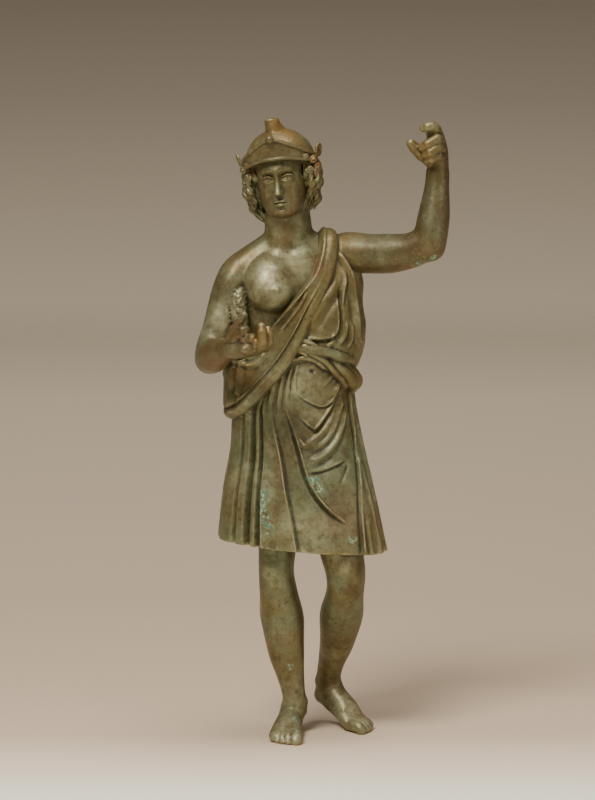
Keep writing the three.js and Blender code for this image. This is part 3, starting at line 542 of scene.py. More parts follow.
# The tunic below the belt. It is smooth over the thighs and pleated round the back.
skirt = {
    "rows": [
        [6, 7, 206, 25, 21.5], [5, 6, 190, 29.5, 23], [4, 6, 175, 32, 23.5], [5.6, 5.5, 154, 34.3, 25],
        [6.5, 5, 131, 39, 27.5], [8, 5, 104, 43.4, 30],
    ],
    "hemSlope": 0.087,
    "girth": 33,  # radius used to measure round the front
    "cloth": 3,
    "recess": 14,
    "evenOver": 9,  # neighbours over which the inner wall is evened out
    "lips": ((0.12, -0.3), (0.88, -0.3), (1, 0.2), (1.9, None)),  # share of the way in, and how much higher
    "pleatDepth": 2.2,
    "begin": (0.0, 0.7),  # the pleats deepen over this share of the way down
    "late": ((298, 312), (356, 344)),  # degrees between which they begin below the folds
    "lateBegin": (0.42, 0.85),
    "facing": (0.15, -0.25),  # the front, where the folds are
    # turn in degrees and height of each pleat's crest and trough: slow on one side, steep on the other
    "pleats": [
        [-45, 0.2], [-34, 0.8], [-28, 1.0], [-25, -0.7], [-21, 0.9], [-12, 0.5], [-9, -0.8], [-3, 1.0],
        [6, 0.4], [9, -0.9], [16, 0.9], [25, 0.5], [28, -0.8], [36, 1.0], [46, 0.6], [49, -0.9], [57, 0.9],
        [66, 0.3], [69, -0.8], [77, 1.0], [86, 0.5], [90, -0.9], [97, 0.9], [106, 0.6], [109, -0.8],
        [117, 1.0], [126, 0.4], [130, -0.9], [137, 0.9], [146, 0.5], [149, -0.8], [157, 1.0], [165, 0.5],
        [168, -0.9], [175, 0.8], [184, 0.4], [188, -0.9], [193, 0.9], [205, 1.2], [213, 0.9],
        [216.5, -1.4], [219, 1.1], [225, 0.9], [227, -1.2], [230.5, -1.3], [232, 0.7], [235, 0.8],
        [236.5, -1.3], [239.5, 0.5], [247, 0], [300, 0], [312, 0.2],
    ],
    "folds": [
        step(-1, 6, 1.3, 1.1, [-7.4, 188], [-7.1, 173], [-4.1, 159.3], [-2, 149], [0, 135.7],
             [2.5, 123.5], [5.4, 107], [6, 102], fade=(0.45, 0)),
        step(1, 5.5, 2.1, 1.5, [-4, 187], [-0.5, 176.7], [3, 166.4], [6.1, 156.2], [9.1, 144.9],
             [13.2, 135.7], [18.2, 128.6], [25.3, 121.9], [33.6, 116], fade=(0.45, 0.2)),
        step(1, 2.6, 1.2, 0.6, [0.5, 193], [7.1, 184.8], [17.2, 179.2], [23.3, 181.6], [26.6, 188],
             [27.6, 193], fade=(0.5, 0.25)),
        step(1, 3.0, 1.7, 0.9, [2.5, 181.8], [8.1, 172.6], [13.7, 167.6], [16, 168.2], [20.6, 174.4],
             [25.6, 182.8], [28.8, 192], fade=(0.45, 0.15)),
        ridge(1.5, 1.3, [4, 168.5], [7.1, 162.3], [11.1, 160.3], [18.8, 166], [24, 174], [27.8, 184]),
        ridge(1.6, 1.6, [12.5, 158], [19.3, 160.6], [24.2, 167], [27.4, 175], [29.6, 185],
              fade=(0.2, 0.15)),
        ridge(1.7, 1.8, [9.6, 150.3], [18.2, 153.8], [25, 160.4], [29, 169.5], [31, 180], fade=(0.2, 0.15)),
        step(1, 3, 1.1, 0.9, [9.9, 145.4], [17.2, 145.8], [25.3, 148.4], [32.4, 152]),
        step(1, 3, 0.2, 0.8, [32.4, 150.1], [30.4, 143.9], [27.4, 137.8]),
        step(1, 4, 1.3, 1.3, [31.4, 192], [32.8, 179.7], [35, 164.4], [36.6, 143.9], [37.8, 123.5],
             [39.2, 98], fade=(0.1, 0)),
        ridge(0.9, -0.8, [40, 130], [41, 114], [42.5, 98], fade=(0.6, 0)),
        ridge(1.1, 0.7, [24.5, 198.1], [21.5, 193], [17.5, 190]),
        ridge(1.1, 0.8, [29.1, 194.9], [25.5, 188.4], [20.5, 184.9]),
        ridge(1.2, 0.8, [-12.2, 186], [-10.5, 170], [-8.5, 146], fade=(0.05, 0.6)),
        ridge(1.1, 0.8, [-6.1, 197], [-9.4, 180], [-6.5, 160], fade=(0.05, 0.5)),
        ridge(1.0, 0.9, [-1.5, 199], [-4.4, 184], [-3.2, 168], fade=(0.05, 0.5)),
        ridge(1.0, 0.9, [2.4, 200.5], [-0.2, 188], [0.9, 176], fade=(0.05, 0.5)),
        ridge(0.9, 0.7, [5.4, 202], [3.4, 192], [5.6, 183], fade=(0.05, 0.5)),
        ridge(3.2, 0.7, [-8, 140], [-6.5, 122], [-6.5, 104], fade=(0.5, 0)),
        ridge(3.4, 0.6, [11, 138], [16, 122], [19, 104], fade=(0.5, 0)),
    ],
    "mounds": [
        [13, -17, 197, 8, 1.3],  # belly
        [13.1, -15.4, 198.6, 1.6, -1.9],  # navel
        [25, -20, 140, 13, 1.1],  # the free thigh
        [-8, -21, 128, 13, 0.5],
    ],
}


def tunicSkirt():
    sides, rows = 900, 400
    turn = turns(sides)
    table = np.array(skirt["rows"], float)
    t = np.linspace(0, 1, rows)
    centre, _ = curve(table[:, :3], t)
    size, _ = curve(table[:, 3:], t)
    nodes = np.array(skirt["pleats"])
    degrees = np.degrees(turn)
    pleat = np.interp(degrees + 1e-6, nodes[:, 0], nodes[:, 1], period=360)
    late = np.prod([smooth(*pair, degrees) for pair in skirt["late"]], axis=0)
    begun = smooth(*skirt["begin"], t)[:, None] * (1 - late) + smooth(*skirt["lateBegin"], t)[:, None] * late
    lift = skirt["pleatDepth"] * pleat * begun
    x = (size[:, :1] + lift) * np.cos(turn)
    y = (size[:, 1:] + lift) * np.sin(turn)
    drop = skirt["hemSlope"] * x * smooth(0.2, 1, t)[:, None]
    outer = centre[:, None] + np.stack([x, y, -drop], -1)
    girth = skirt["girth"]

    def unrolled(fold):  # a line of x and z becomes one of distance round the skirt and z
        x, z = np.array(fold["line"], float).T
        middle, half = (np.interp(z, centre[::-1, 2], column[::-1]) for column in (centre[:, 0], size[:, 0]))
        aside = girth * np.arcsin(np.clip((x - middle) / half, -0.98, 0.98))
        return dict(fold, line=np.stack([aside, z], -1))

    facing = smooth(*skirt["facing"], np.sin(turn))
    aside = girth * ((turn - 1.5 * math.pi + math.pi) % fullTurn - math.pi) + 0 * outer[..., 0]
    rise = foldRise(aside, outer[..., 2], [unrolled(fold) for fold in skirt["folds"]]) * facing
    outer = pushOut(outer, heaped(outer, skirt["mounds"], rise))

    # the hem turns in to an even inner wall, and the hollow under it ends in a level roof
    middle = centre[-1] * [1, 1, 0]
    outline = outer[-1] - middle
    reach = np.hypot(outline[:, 0], outline[:, 1])
    nearby = range(-skirt["evenOver"], skirt["evenOver"] + 1)
    inner = np.min([np.roll(reach, k) for k in nearby], axis=0) - skirt["cloth"]
    lips = []
    for share, level in skirt["lips"]:
        scale = (1 + (inner / reach - 1) * share)[:, None]
        lip = middle + outline * np.hstack([scale, scale, np.ones_like(scale)])
        lip[:, 2] = table[-1, 2] + skirt["recess"] if level is None else lip[:, 2] + level
        lips.append(lip)
    return [skin(np.concatenate([outer, np.array(lips)]))]


# The top of the tunic, bloused over the belt and pinned on the left shoulder.
blouse = {
    "rows": [
        [22, 7, 264, 7, 10], [25, 6, 256, 11, 15], [25, 5.5, 244, 14.5, 18.5], [20.4, 5, 230, 22.2, 21.7],
        [16.5, 4.5, 217, 25.2, 22.5], [14, 5.5, 208, 25, 21.5], [12, 7, 203, 22, 18],
    ],
    "folds": [
        ridge(1.2, 1.3, [27, 266], [31.4, 259.5], [36.1, 251.9], [38.9, 243.4], [40.4, 232]),
        ridge(1.2, 2.0, [26.4, 262], [33.3, 249], [34.9, 238.6], [37, 223.5], [38.2, 211],
              fade=(0.1, 0.05)),
        ridge(0.9, 1.2, [28.5, 254], [30.6, 247], [29.2, 238.6], [28.6, 231]),
        step(-1, 4, 1.8, 1.9, [26.4, 248], [27.4, 231], [27.6, 223.5], [26.5, 218.7], [23.4, 215.9],
             [16.4, 214.8], [7, 215.4], fade=(0.25, 0.1)),
        ridge(2.2, 2.6, [27, 246], [20.4, 236.5], [15.8, 229.6], [10.8, 220.6], fade=(0.2, 0.2)),
        step(-1, 2, 0.5, 0.6, [22.6, 246], [16, 236], [9.5, 227]),
        ridge(1.0, 1.3, [31.2, 226], [30.4, 217.5], [26, 211.5]),
        ridge(1.0, 1.3, [34.4, 225], [34, 216], [30.6, 209]),
        ridge(0.9, 0.8, [24.6, 219], [23.4, 213.6], [20, 210.6]),
        ridge(1.1, 1.0, [40.2, 224], [40, 215], [37.4, 207]),
    ],
    "backFolds": [
        ridge(1.6, 1.3, [24, 264], [30, 246], [36, 216]),
        ridge(1.6, 1.3, [21, 262], [23, 240], [26, 212]),
        ridge(1.5, 1.1, [28, 262], [35, 246], [39, 224]),
        ridge(1.6, 1.2, [17, 240], [14, 225], [12, 210]),
        ridge(1.6, 1.0, [8, 228], [4, 218], [2, 208]),
    ],
    "mounds": [[18, -13, 240, 9, 1.0]],
    "side": 5.5,  # the folds of the back begin here
    "gathers": (0.7, 212, 5),  # height, level and reach of the gathers over the belt
}


def tunicTop():
    rings = loft(blouse["rows"], sides=240, rings=150, domes=(0, 0))
    x, y, z = np.moveaxis(rings, -1, 0)
    behind = (y > blouse["side"]).astype(float)
    rise = foldRise(x, z, blouse["folds"]) * (1 - behind) + foldRise(x, z, blouse["backFolds"]) * behind
    height, level, reach = blouse["gathers"]
    gathers = height * bell(z, level, reach) * np.cos(x * 0.9 + 2 * np.sin(z * 0.25))
    rise = heaped(rings, blouse["mounds"], rise) + gathers * smooth(1, 11, y)
    return [skin(pushOut(rings, rise))]


# The belt of the blouse and the twisted sash that thickens over the free hip.
belts = {
    "roll": [
        [-2, -14, 209, 1.5, 1.6], [6, -17, 210.6, 2.1, 2.3], [19, -17.5, 209.2, 2.3, 2.5],
        [29.5, -12.6, 205.2, 2.6, 2.8], [33.6, 1, 203, 3, 3], [31.6, 16, 204, 3, 3],
        [20, 26, 206, 2.6, 2.6], [2, 27, 208, 2.4, 2.6], [-14, 23, 208, 2, 2.4],
    ],
    "sash": [
        [-4, -15, 201, 1.2, 1.4], [9, -16, 206.5, 1.9, 2.1], [18, -15, 204, 2.5, 2.7],
        [27, -11, 199.5, 3.6, 4], [32.5, -4, 193.5, 5, 6], [33.5, 6, 191, 5.2, 6.5], [29, 19, 193, 4, 4.6],
        [16, 26.5, 197, 3, 3.4], [0, 28, 199, 3, 3.4], [-16, 23, 199, 2.6, 3],
    ],
    # strands round each belt, their turns along it, and their depth
    "lay": {"roll": (2, 0.5, 0.5), "sash": (4, 3.4, 2.0)},
    "knotGirth": (0.7, 1.15, 0.6),
    "knot": [  # crinkles where the belt is tied, beside the cloak
        [[5.5, -16.4, 213.6], [9, -18.4, 214.8], [13.5, -18.8, 213.4], [16.5, -18.6, 211.6]],
        [[5, -16.2, 211], [8.5, -18.6, 212], [12.5, -19, 210.9], [17, -18.8, 209.2]],
        [[4.5, -15.6, 208.4], [7.5, -18, 208.8], [10.4, -18.3, 207]],
    ],
}


def waistBelts():
    made = []
    for name, (strands, twists, depth) in belts["lay"].items():
        rings = loft(belts[name], facing=up, sides=90, rings=300, domes=(0, 0))
        t = np.linspace(0, 1, rings.shape[0])[:, None]
        turn = turns(rings.shape[1])
        wander = 0.5 * np.sin(23 * t) + 0.3 * np.sin(41 * t + 1)
        lay = np.abs(np.sin(strands * turn / 2 + twists * fullTurn * t + wander)) ** 0.6 - 0.6
        girth = 0.12 * np.sin(60 * t) + 0.1 * np.sin(37 * t + 2 * turn)
        made.append(skin(pushOut(rings, depth * (lay + girth) * smooth(0, 0.1, t))))
    return made + [strand(line, belts["knotGirth"]) for line in belts["knot"]]


# The cloak, slung from the left shoulder to the right hip and back over the shoulder.
cloak = {
    "path": [  # x, y, z and half width
        [21.5, 8, 268.5, 4.6], [22.5, -3, 266.5, 4.8], [21.5, -11.5, 257, 5], [17.5, -15.5, 245, 5.6],
        [9.5, -18, 232.5, 7], [1, -17.5, 219, 9], [-7, -16, 207, 10], [-16, -14, 197, 11],
        [-25, -8, 189.5, 14], [-30.5, 3, 188, 17], [-27, 17, 194, 14], [-15, 25.5, 207, 12],
        [0, 26.5, 222, 11], [13, 23, 240, 9], [20, 17, 257, 6.5],
    ],
    "cloth": 3,
    # each ridge runs along the band: share of the way round and millimetres in from the lower edge
    "ridges": [
        ridge(2.0, 2.0, [0.6, 4], [0.7, 5], [0.85, 4.4], [1, 3.4], fade=(0.06, 0)),
        ridge(1.6, 1.4, [0.6, 14], [0.7, 12], [0.85, 9], [0.96, 6], fade=(0.06, 0.06)),
        ridge(1.5, 1.1, [0.64, 20], [0.74, 18], [0.84, 14], [0.92, 10], fade=(0.05, 0.05)),
        ridge(1.4, 1.0, [0.58, 24], [0.68, 22], [0.8, 19], fade=(0.05, 0.05)),
    ],
    "upperRim": 0.9,
    "profileEnds": (0.72, 0.6),  # share of the way round where the front's cross-section dies away
    # the folds begin and end over these shares of the way round, and fade out between these y
    "folded": ((0.1, 0.13), (0.68, 0.64), (-2, -7)),
    "axis": (5, 7),  # x and y of the upright that the band faces away from
    "axisLevels": (180, 250),
    # the folds of the front are lines of x and z
    "folds": [
        ridge(0.8, 1.3, [14.5, 255.7], [10.8, 245.3], [6.1, 238.6], [-1.5, 229.2], [-9, 220.6],
              fade=(0.15, 0.2)),
        ridge(0.7, 1.0, [11.5, 243], [7, 234], [0.5, 225], [-5, 218]),
        ridge(0.6, 0.8, [12.4, 252], [7, 243], [0, 234], [-7, 226]),
        ridge(1.2, 1.7, [-23.8, 205], [-25.6, 198], [-26.9, 185.6], fade=(0.02, 0.02)),
        ridge(1.5, 1.3, [-29.2, 201], [-30, 190], [-31.2, 175], fade=(0.1, 0.02)),
        ridge(1.2, 1.6, [-25.6, 203.2], [-21, 201.2], [-16.5, 202.6], [-11, 208.2], fade=(0.1, 0.1)),
        ridge(1.1, 0.8, [-8, 199.5], [-15.5, 191.2], [-24, 182.8]),
    ],
    "mounds": [[-21.5, -12, 195.5, 4.2, -2.2], [-28.4, -8, 188, 3.2, -1.3], [-17, -14, 199, 3, -1.2]],
}


def clothProfile(d, width):
    # across the front: a thick roll at the lower edge, a groove, a thin ridge, flat cloth and its upper rim
    hang = 2 * smooth(20, 32, width)  # the wide stretch hangs further out
    opened = smooth(9.5, 15, width)  # at the shoulder the cloth is gathered into a single roll
    roll = np.minimum(2.9, 0.3 * width)
    groove = np.minimum(5.9, 0.56 * width)
    crest = np.minimum(6.7, 0.66 * width)
    nodes = [  # distance from the lower edge, and height
        (0, -0.8),
        (0.45 * roll, 1.6),
        (roll, 2.3),
        (groove - 1.2, 2.3 - 0.8 * opened),
        (groove, 2.0 - 1.9 * opened),
        (crest, 1.5 + hang / 3),
        (np.minimum(crest + 1.1, 0.78 * width), 0.6 - 0.4 * opened + hang),
        (0.84 * width, 0.1 + hang),
        (np.maximum(width - 1.6, 0.88 * width), 0.1 + hang / 2),
        (np.maximum(width - 0.7, 0.94 * width), 0.5 + 0.7 * opened),
        (width, -0.6),
    ]
    rise = np.zeros(d.shape)
    for (before, low), (after, high) in zip(nodes, nodes[1:]):
        share = smooth(0, 1, (d - before) / np.maximum(after - before, 0.05))
        rise = np.where((d >= before) & (d <= after), low + (high - low) * share, rise)
    return rise


def slungCloak():
    rows, across = 560, 120
    table = np.array(cloak["path"], float)
    t = np.arange(rows) / rows
    centre, tangent = curve(table[:, :3], t, loop=True)
    halfWidth = curve(table[:, 3:] * [1, 0], t, loop=True)[0][:, :1]
    low, high = cloak["axisLevels"]
    outward = centre - np.array([*cloak["axis"], 0.0])
    outward[:, 2] = centre[:, 2] - np.clip(centre[:, 2], low, high)
    outward = unit(outward - tangent * (outward * tangent).sum(-1, keepdims=True))
    wideward = np.cross(outward, tangent)
    s = np.sin(np.linspace(-math.pi / 2, math.pi / 2, across))[None, :]
    fromLower, fromUpper = (1 - s) * halfWidth, (1 + s) * halfWidth
    rise = np.zeros((rows, across))
    for fold in cloak["ridges"]:
        way = np.array(fold["line"], float)
        inside = (t >= way[0, 0]) & (t <= way[-1, 0])
        ends = inside * faded(t - way[0, 0], way[-1, 0] - t, fold["fade"])
        place = np.interp(t, way[:, 0], way[:, 1])[:, None]
        rise += fold["rise"] * ends[:, None] * bell(fromLower, place, fold["width"])
    frontal = smooth(*cloak["profileEnds"], t)[:, None]
    rise += clothProfile(fromLower, 2 * halfWidth) * frontal
    rise += cloak["upperRim"] * (1 - frontal) * bell(fromUpper, 0.9, 0.7)
    edge = np.sqrt(1 - s ** 8 * 0.9)  # rounds both edges
    height = (cloak["cloth"] - 2.0 + rise) * edge
    outer = centre[:, None] + wideward[:, None] * (s * halfWidth)[..., None]
    outer = outer + outward[:, None] * height[..., None]
    begin, end, nearer = (smooth(*pair, way) for pair, way in zip(cloak["folded"], (t, t, outer[..., 1])))
    seen = nearer * (begin * end)[:, None]
    rise = foldRise(outer[..., 0], outer[..., 2], cloak["folds"]) * seen
    rise += heaped(outer, cloak["mounds"])
    outer = outer + outward[:, None] * (rise * edge)[..., None]
    depth = cloak["cloth"] + 0.6
    inner = [centre + wideward * halfWidth * side - outward * depth for side in (0.96, 0.5, -0.5, -0.96)]
    return [skin(np.concatenate([outer, np.array(inner).swapaxes(0, 1)], axis=1), loop=True)]


# The head, in its own frame: origin between the ears, face towards -Y.
# The face is a plain calm one, set out by the usual rules for drawing a head.
headPlace = (Matrix.Translation((-2.4, 1, 299)) @ Matrix.Rotation(math.radians(-9), 4, "Y")
             @ Matrix.Rotation(math.radians(3), 4, "X") @ Matrix.Rotation(math.radians(-10), 4, "Z"))
face = {
    "rows": [  # z, half width, half depth and middle y of the plain egg of the head
        [-19.9, 4.4, 4, -9.9], [-18.4, 7.4, 6.4, -9], [-16.6, 9, 7.9, -8.3], [-14, 10.6, 9.6, -7.2],
        [-11.2, 11.6, 10.8, -6.1], [-8.3, 12.4, 11.9, -4.8], [-4.5, 13, 13.1, -3],
        [-1.5, 13.3, 13.9, -1.9], [2.8, 13.5, 15, -0.9], [7, 13.5, 16.5, 0], [16, 12, 14, 1],
    ],
    "brow": 4.6, "eye": 0.8, "apart": 5.4, "nose": -7.0, "mouth": -11.2, "chin": -16.8,
}
brow, eye, apart, nose, mouth, chin = (face[key] for key in ("brow", "eye", "apart", "nose", "mouth", "chin"))
# height, place beside the middle, z, half width and half height of the soft forms and the small cuts
face["forms"] = [
    (-2.1, apart - 0.4, eye + 0.8, 3.9, 2.6),  # eye socket
    (-0.6, 2.9, eye + 1.0, 1.3, 1.8),  # its inner corner
    (0.5, 0, nose + 1.5, 1.7, 1.5),  # tip of the nose
    (1.15, 2.2, nose + 1.1, 0.9, 1.05),  # nostrils
    (0.8, 7.6, -4.4, 3.4, 3.4),  # cheek
    (-0.5, 11.2, 5.2, 2.2, 3),  # temple
    (0.3, 8.6, -12.5, 3, 3),  # jaw
    (1.1, 0, mouth - 0.3, 4.8, 3.3),  # round the mouth
    (-0.5, 4.9, mouth + 2.3, 1.3, 2.4),
    (1.15, 0, mouth - 1.35, 2.6, 0.95),  # lower lip
    (1.3, 0, chin, 3.8, 2.4),
    (-1.0, 0, mouth - 3.3, 3.0, 1.0),  # above the chin
]
face["cuts"] = [
    (-0.42, apart, eye + 0.15, 0.5, 0.5),  # the drilled pupil
    (-0.9, 1.15, nose + 0.1, 0.6, 0.42),  # nostrils
    (-0.45, 3.35, nose + 1.5, 0.35, 1.1),  # behind them
    (-0.35, 0, mouth + 2.7, 0.5, 0.9),  # over the upper lip
    (-0.4, 3.9, mouth - 0.35, 0.6, 0.6),  # corners of the mouth
]


def egg(z):
    fine, _ = curve(face["rows"], np.linspace(0, 1, 160))
    return [np.interp(z, fine[:, 0], fine[:, i]) for i in (1, 2, 3)]


def hills(side, z, rows):
    return sum(height * np.exp(-((side - x0) / wide) ** 2 - ((z - z0) / tall) ** 2)
               for height, x0, z0, wide, tall in rows)


def faceForms(x, z):  # how far the face stands out before the egg
    side = np.abs(x)
    rise = hills(side, z, face["forms"])
    rise += 1.5 * np.sqrt(np.clip(1 - ((side - apart) / 3.3) ** 2 - ((z - eye) / 2.7) ** 2, 0, 1))  # eyeball
    arch = brow + 0.5 - 0.045 * (side - 4.2) ** 2
    browRidge = np.where(z < arch, bell(z, arch, 1.1), bell(z, arch, 3.0))
    rise += 0.7 * browRidge * smooth(10.5, 7.5, side) * smooth(0.2, 2.4, side)
    down = np.clip((brow - z) / (brow - nose), 0, 1)  # along the nose
    length = smooth(brow + 3.2, brow - 1.2, z) * smooth(nose - 0.55, nose + 0.45, z)
    rise += (1.4 + 3.1 * down) * np.exp(-(side / (1.4 + 0.6 * down)) ** 4) * length
    upperLip = mouth + 0.95 - 0.06 * side ** 2
    return rise + 0.75 * bell(z, upperLip, 0.85) * smooth(4.3, 2.2, side)


def faceLines(x, z):  # lids, pupils, nostrils and the lines of the lips
    side = np.abs(x)
    rise = hills(side, z, face["cuts"])
    along = np.clip(1 - ((side - apart) / 3.3) ** 2, 0, 1)  # highest over the middle of the eye
    corner = smooth(0, 0.25, along)
    upper, lower = eye + 0.1 + 1.3 * along ** 0.75, eye - 0.1 - 0.8 * along ** 0.85
    rise -= 0.32 * smooth(-0.1, 0.25, upper - z) * smooth(-0.1, 0.25, z - lower) * corner
    rise += 0.42 * bell(z, upper + 0.4, 0.42) * corner  # upper lid, its crease and the lower lid
    rise -= 0.5 * bell(z, upper + 1.3, 0.34) * smooth(0.1, 0.5, along)
    rise += 0.22 * bell(z, lower - 0.3, 0.34) * corner
    parting = mouth - 0.02 * side ** 2 + 0.15 * bell(side, 0, 0.7)
    rise -= 1.0 * bell(z, parting, 0.3) * smooth(4.0, 3.1, side)
    lipEdge = mouth + 1.95 - 0.1 * side ** 2
    return rise - 0.22 * bell(z, lipEdge, 0.3) * smooth(3.6, 2.4, side)


def calmFace():
    z = np.linspace(-19.9, 16, 280)[:, None]
    turn = turns(280)[None, :]
    wide, deep, middle = egg(z)
    x, y = wide * np.cos(turn), middle + deep * np.sin(turn)
    y = y - faceForms(x, z) * smooth(-3.0, -7.0, y)
    return [skin(np.stack(np.broadcast_arrays(x, y, z), -1))]


def carveFace(spots):  # cuts the fine lines of the face into the finished skin
    away = ((spots - casting["headCentre"]) ** 2).sum(-1)
    onHead = np.flatnonzero(away < casting["headReach"] ** 2)
    turn = np.array(headPlace.to_3x3())
    x, y, z = ((spots[onHead] - np.array(headPlace.translation)) @ turn).T
    wide, deep, middle = egg(z)
    plain = middle - deep * np.sqrt(np.clip(1 - (x / wide) ** 2, 0, 1)) - faceForms(x, z)
    cut = faceLines(x, z) * smooth(1.5, 0.6, np.abs(y - plain)) * smooth(-5.0, -8.0, y)
    spots = spots.copy()
    spots[onHead] += (turn @ np.array(front)) * cut[:, None]
    return spots


helmet = {
    "centre": (-0.4, 3, 7),
    "radii": (18.6, 20, 18.3),
    "rim": (-8, 25),  # degrees of the rim's slope at the sides, and how much higher it is before and behind
    "keel": (0.5, 2.2),  # height and half width of the low ridge that carries the crest
    "border": (0.7, 0.05, 0.3, 0.13),  # height and width of the rim's roll, depth and place of its groove
    "frontlet": [
        [-18.5, -1, 8, 1.4, 1.2], [-14.5, -9.5, 11.2, 1.5, 2.3], [-8, -15, 14.6, 1.5, 3.5],
        [0, -16.8, 16.8, 1.5, 5.1], [8, -15, 14.6, 1.5, 3.5], [14.5, -9.5, 11.2, 1.5, 2.3],
        [18.5, -1, 8, 1.4, 1.2],
    ],
    # which edge each roll of the frontlet lies on, its girth and how far out it lies
    "rolls": [[-1, 0.9, 1.3], [1, 0.95, 1.9]],
    "knob": ([0, -18.7, 22.2], 2.2),
    "stump": [
        [0.3, 2.5, 18.5, 9.5, 11.5], [-0.2, 2.2, 21.6, 6.9, 9.6], [-0.6, 1.6, 24.6, 5.1, 7.6],
        [-1.0, 0.9, 27.6, 4.1, 5.8], [-1.2, 0.5, 30.3, 3.7, 4.8], [-1.2, 0.5, 31.0, 3.1, 4.0],
    ],
    "chips": (0.8, 2.4),  # depth and size of the chips at the break
    # an oval plate with a hollow outer face stands beside each ear
    "platePlace": (21.4, -0.9, 11.8),
    "plateSize": (2.9, 3.8),
    "plateLean": (11, -22),
    "plateProfile": [
        [0.5, -0.7], [0.9, -0.6], [1.0, -0.1], [0.97, 0.5], [0.84, 0.55], [0.66, 0.05], [0.35, -0.2],
    ],
    "plateStem": [[17.0, -1, 6.5, 1.2, 2.0], [19.4, -1, 8.4, 1.1, 1.8], [21.0, -0.9, 10.4, 0.8, 1.5]],
}


def helmetBowl():
    turn = turns(200)[None, :]
    slope, higher = helmet["rim"]
    rim = np.radians(slope - higher * np.sin(turn))
    rise = rim + (math.radians(86) - rim) * np.linspace(0, 1, 110)[:, None]
    (cx, cy, cz), (rx, ry, rz) = helmet["centre"], helmet["radii"]
    level = np.cos(rise)
    height, width = helmet["keel"]
    keel = height * bell(np.cos(turn) * level * rx, 0, width)
    x, y = (rx + keel) * level * np.cos(turn), (ry + keel) * level * np.sin(turn)
    z = (rz + keel) * np.sin(rise)
    height, width, depth, place = helmet["border"]
    border = height * bell(rise, rim, width) - depth * bell(rise, rim + place, width)
    return [skin(pushOut(np.stack([cx + x, cy + y, cz + z], -1), border))]


def frontlet():
    made = [skin(loft(helmet["frontlet"], facing=up, sides=60, rings=140, square=4, domes=(0, 0)))]
    table = np.array(helmet["frontlet"], float)
    t = np.linspace(0, 1, 41)
    centre, tangent = curve(table[:, :3], t)
    size, _ = curve(table[:, 3:], t)
    across = unit(np.cross(tangent, up))
    tall = unit(np.cross(across, tangent))
    outside = across * np.sign((across * centre * [1, 1, 0]).sum(-1, keepdims=True))
    for edge, girth, out in helmet["rolls"]:
        line = centre + tall * (size[:, 1:] * edge) + outside * out
        made.append(strand(line, [girth] * len(line), rings=200, sides=14))
    place, radius = helmet["knob"]
    return made + [ball(place, [radius] * 3)]


def crestStump():
    stump = loft(helmet["stump"], sides=90, rings=80, domes=(0, 0))
    depth, size = helmet["chips"]
    chips = depth * (grain(stump, size, 5) - 0.5) * smooth(26, 31, stump[..., 2])
    return [skin(pushOut(stump, chips))]


def earPlates():
    halfWide, halfTall = helmet["plateSize"]
    profile, _ = curve(helmet["plateProfile"], np.linspace(0, 1, 30))
    turn = turns(60)[None, :]
    share, rise = profile[:, :1], profile[:, 1:]
    plate = np.stack([rise + 0 * turn, halfWide * share * np.cos(turn), halfTall * share * np.sin(turn)], -1)
    leanOut, turnBack = (math.radians(a) for a in helmet["plateLean"])
    lean = Matrix.Rotation(leanOut, 3, "Y") @ Matrix.Rotation(turnBack, 3, "Z")
    plate = plate @ np.array(lean).T + np.array(helmet["platePlace"])
    stem = loft(helmet["plateStem"], facing=(0.42, 0.9, 0), sides=30, rings=20)
    return [skin(rings * [side, 1, 1]) for side in (-1, 1) for rings in (plate, stem)]


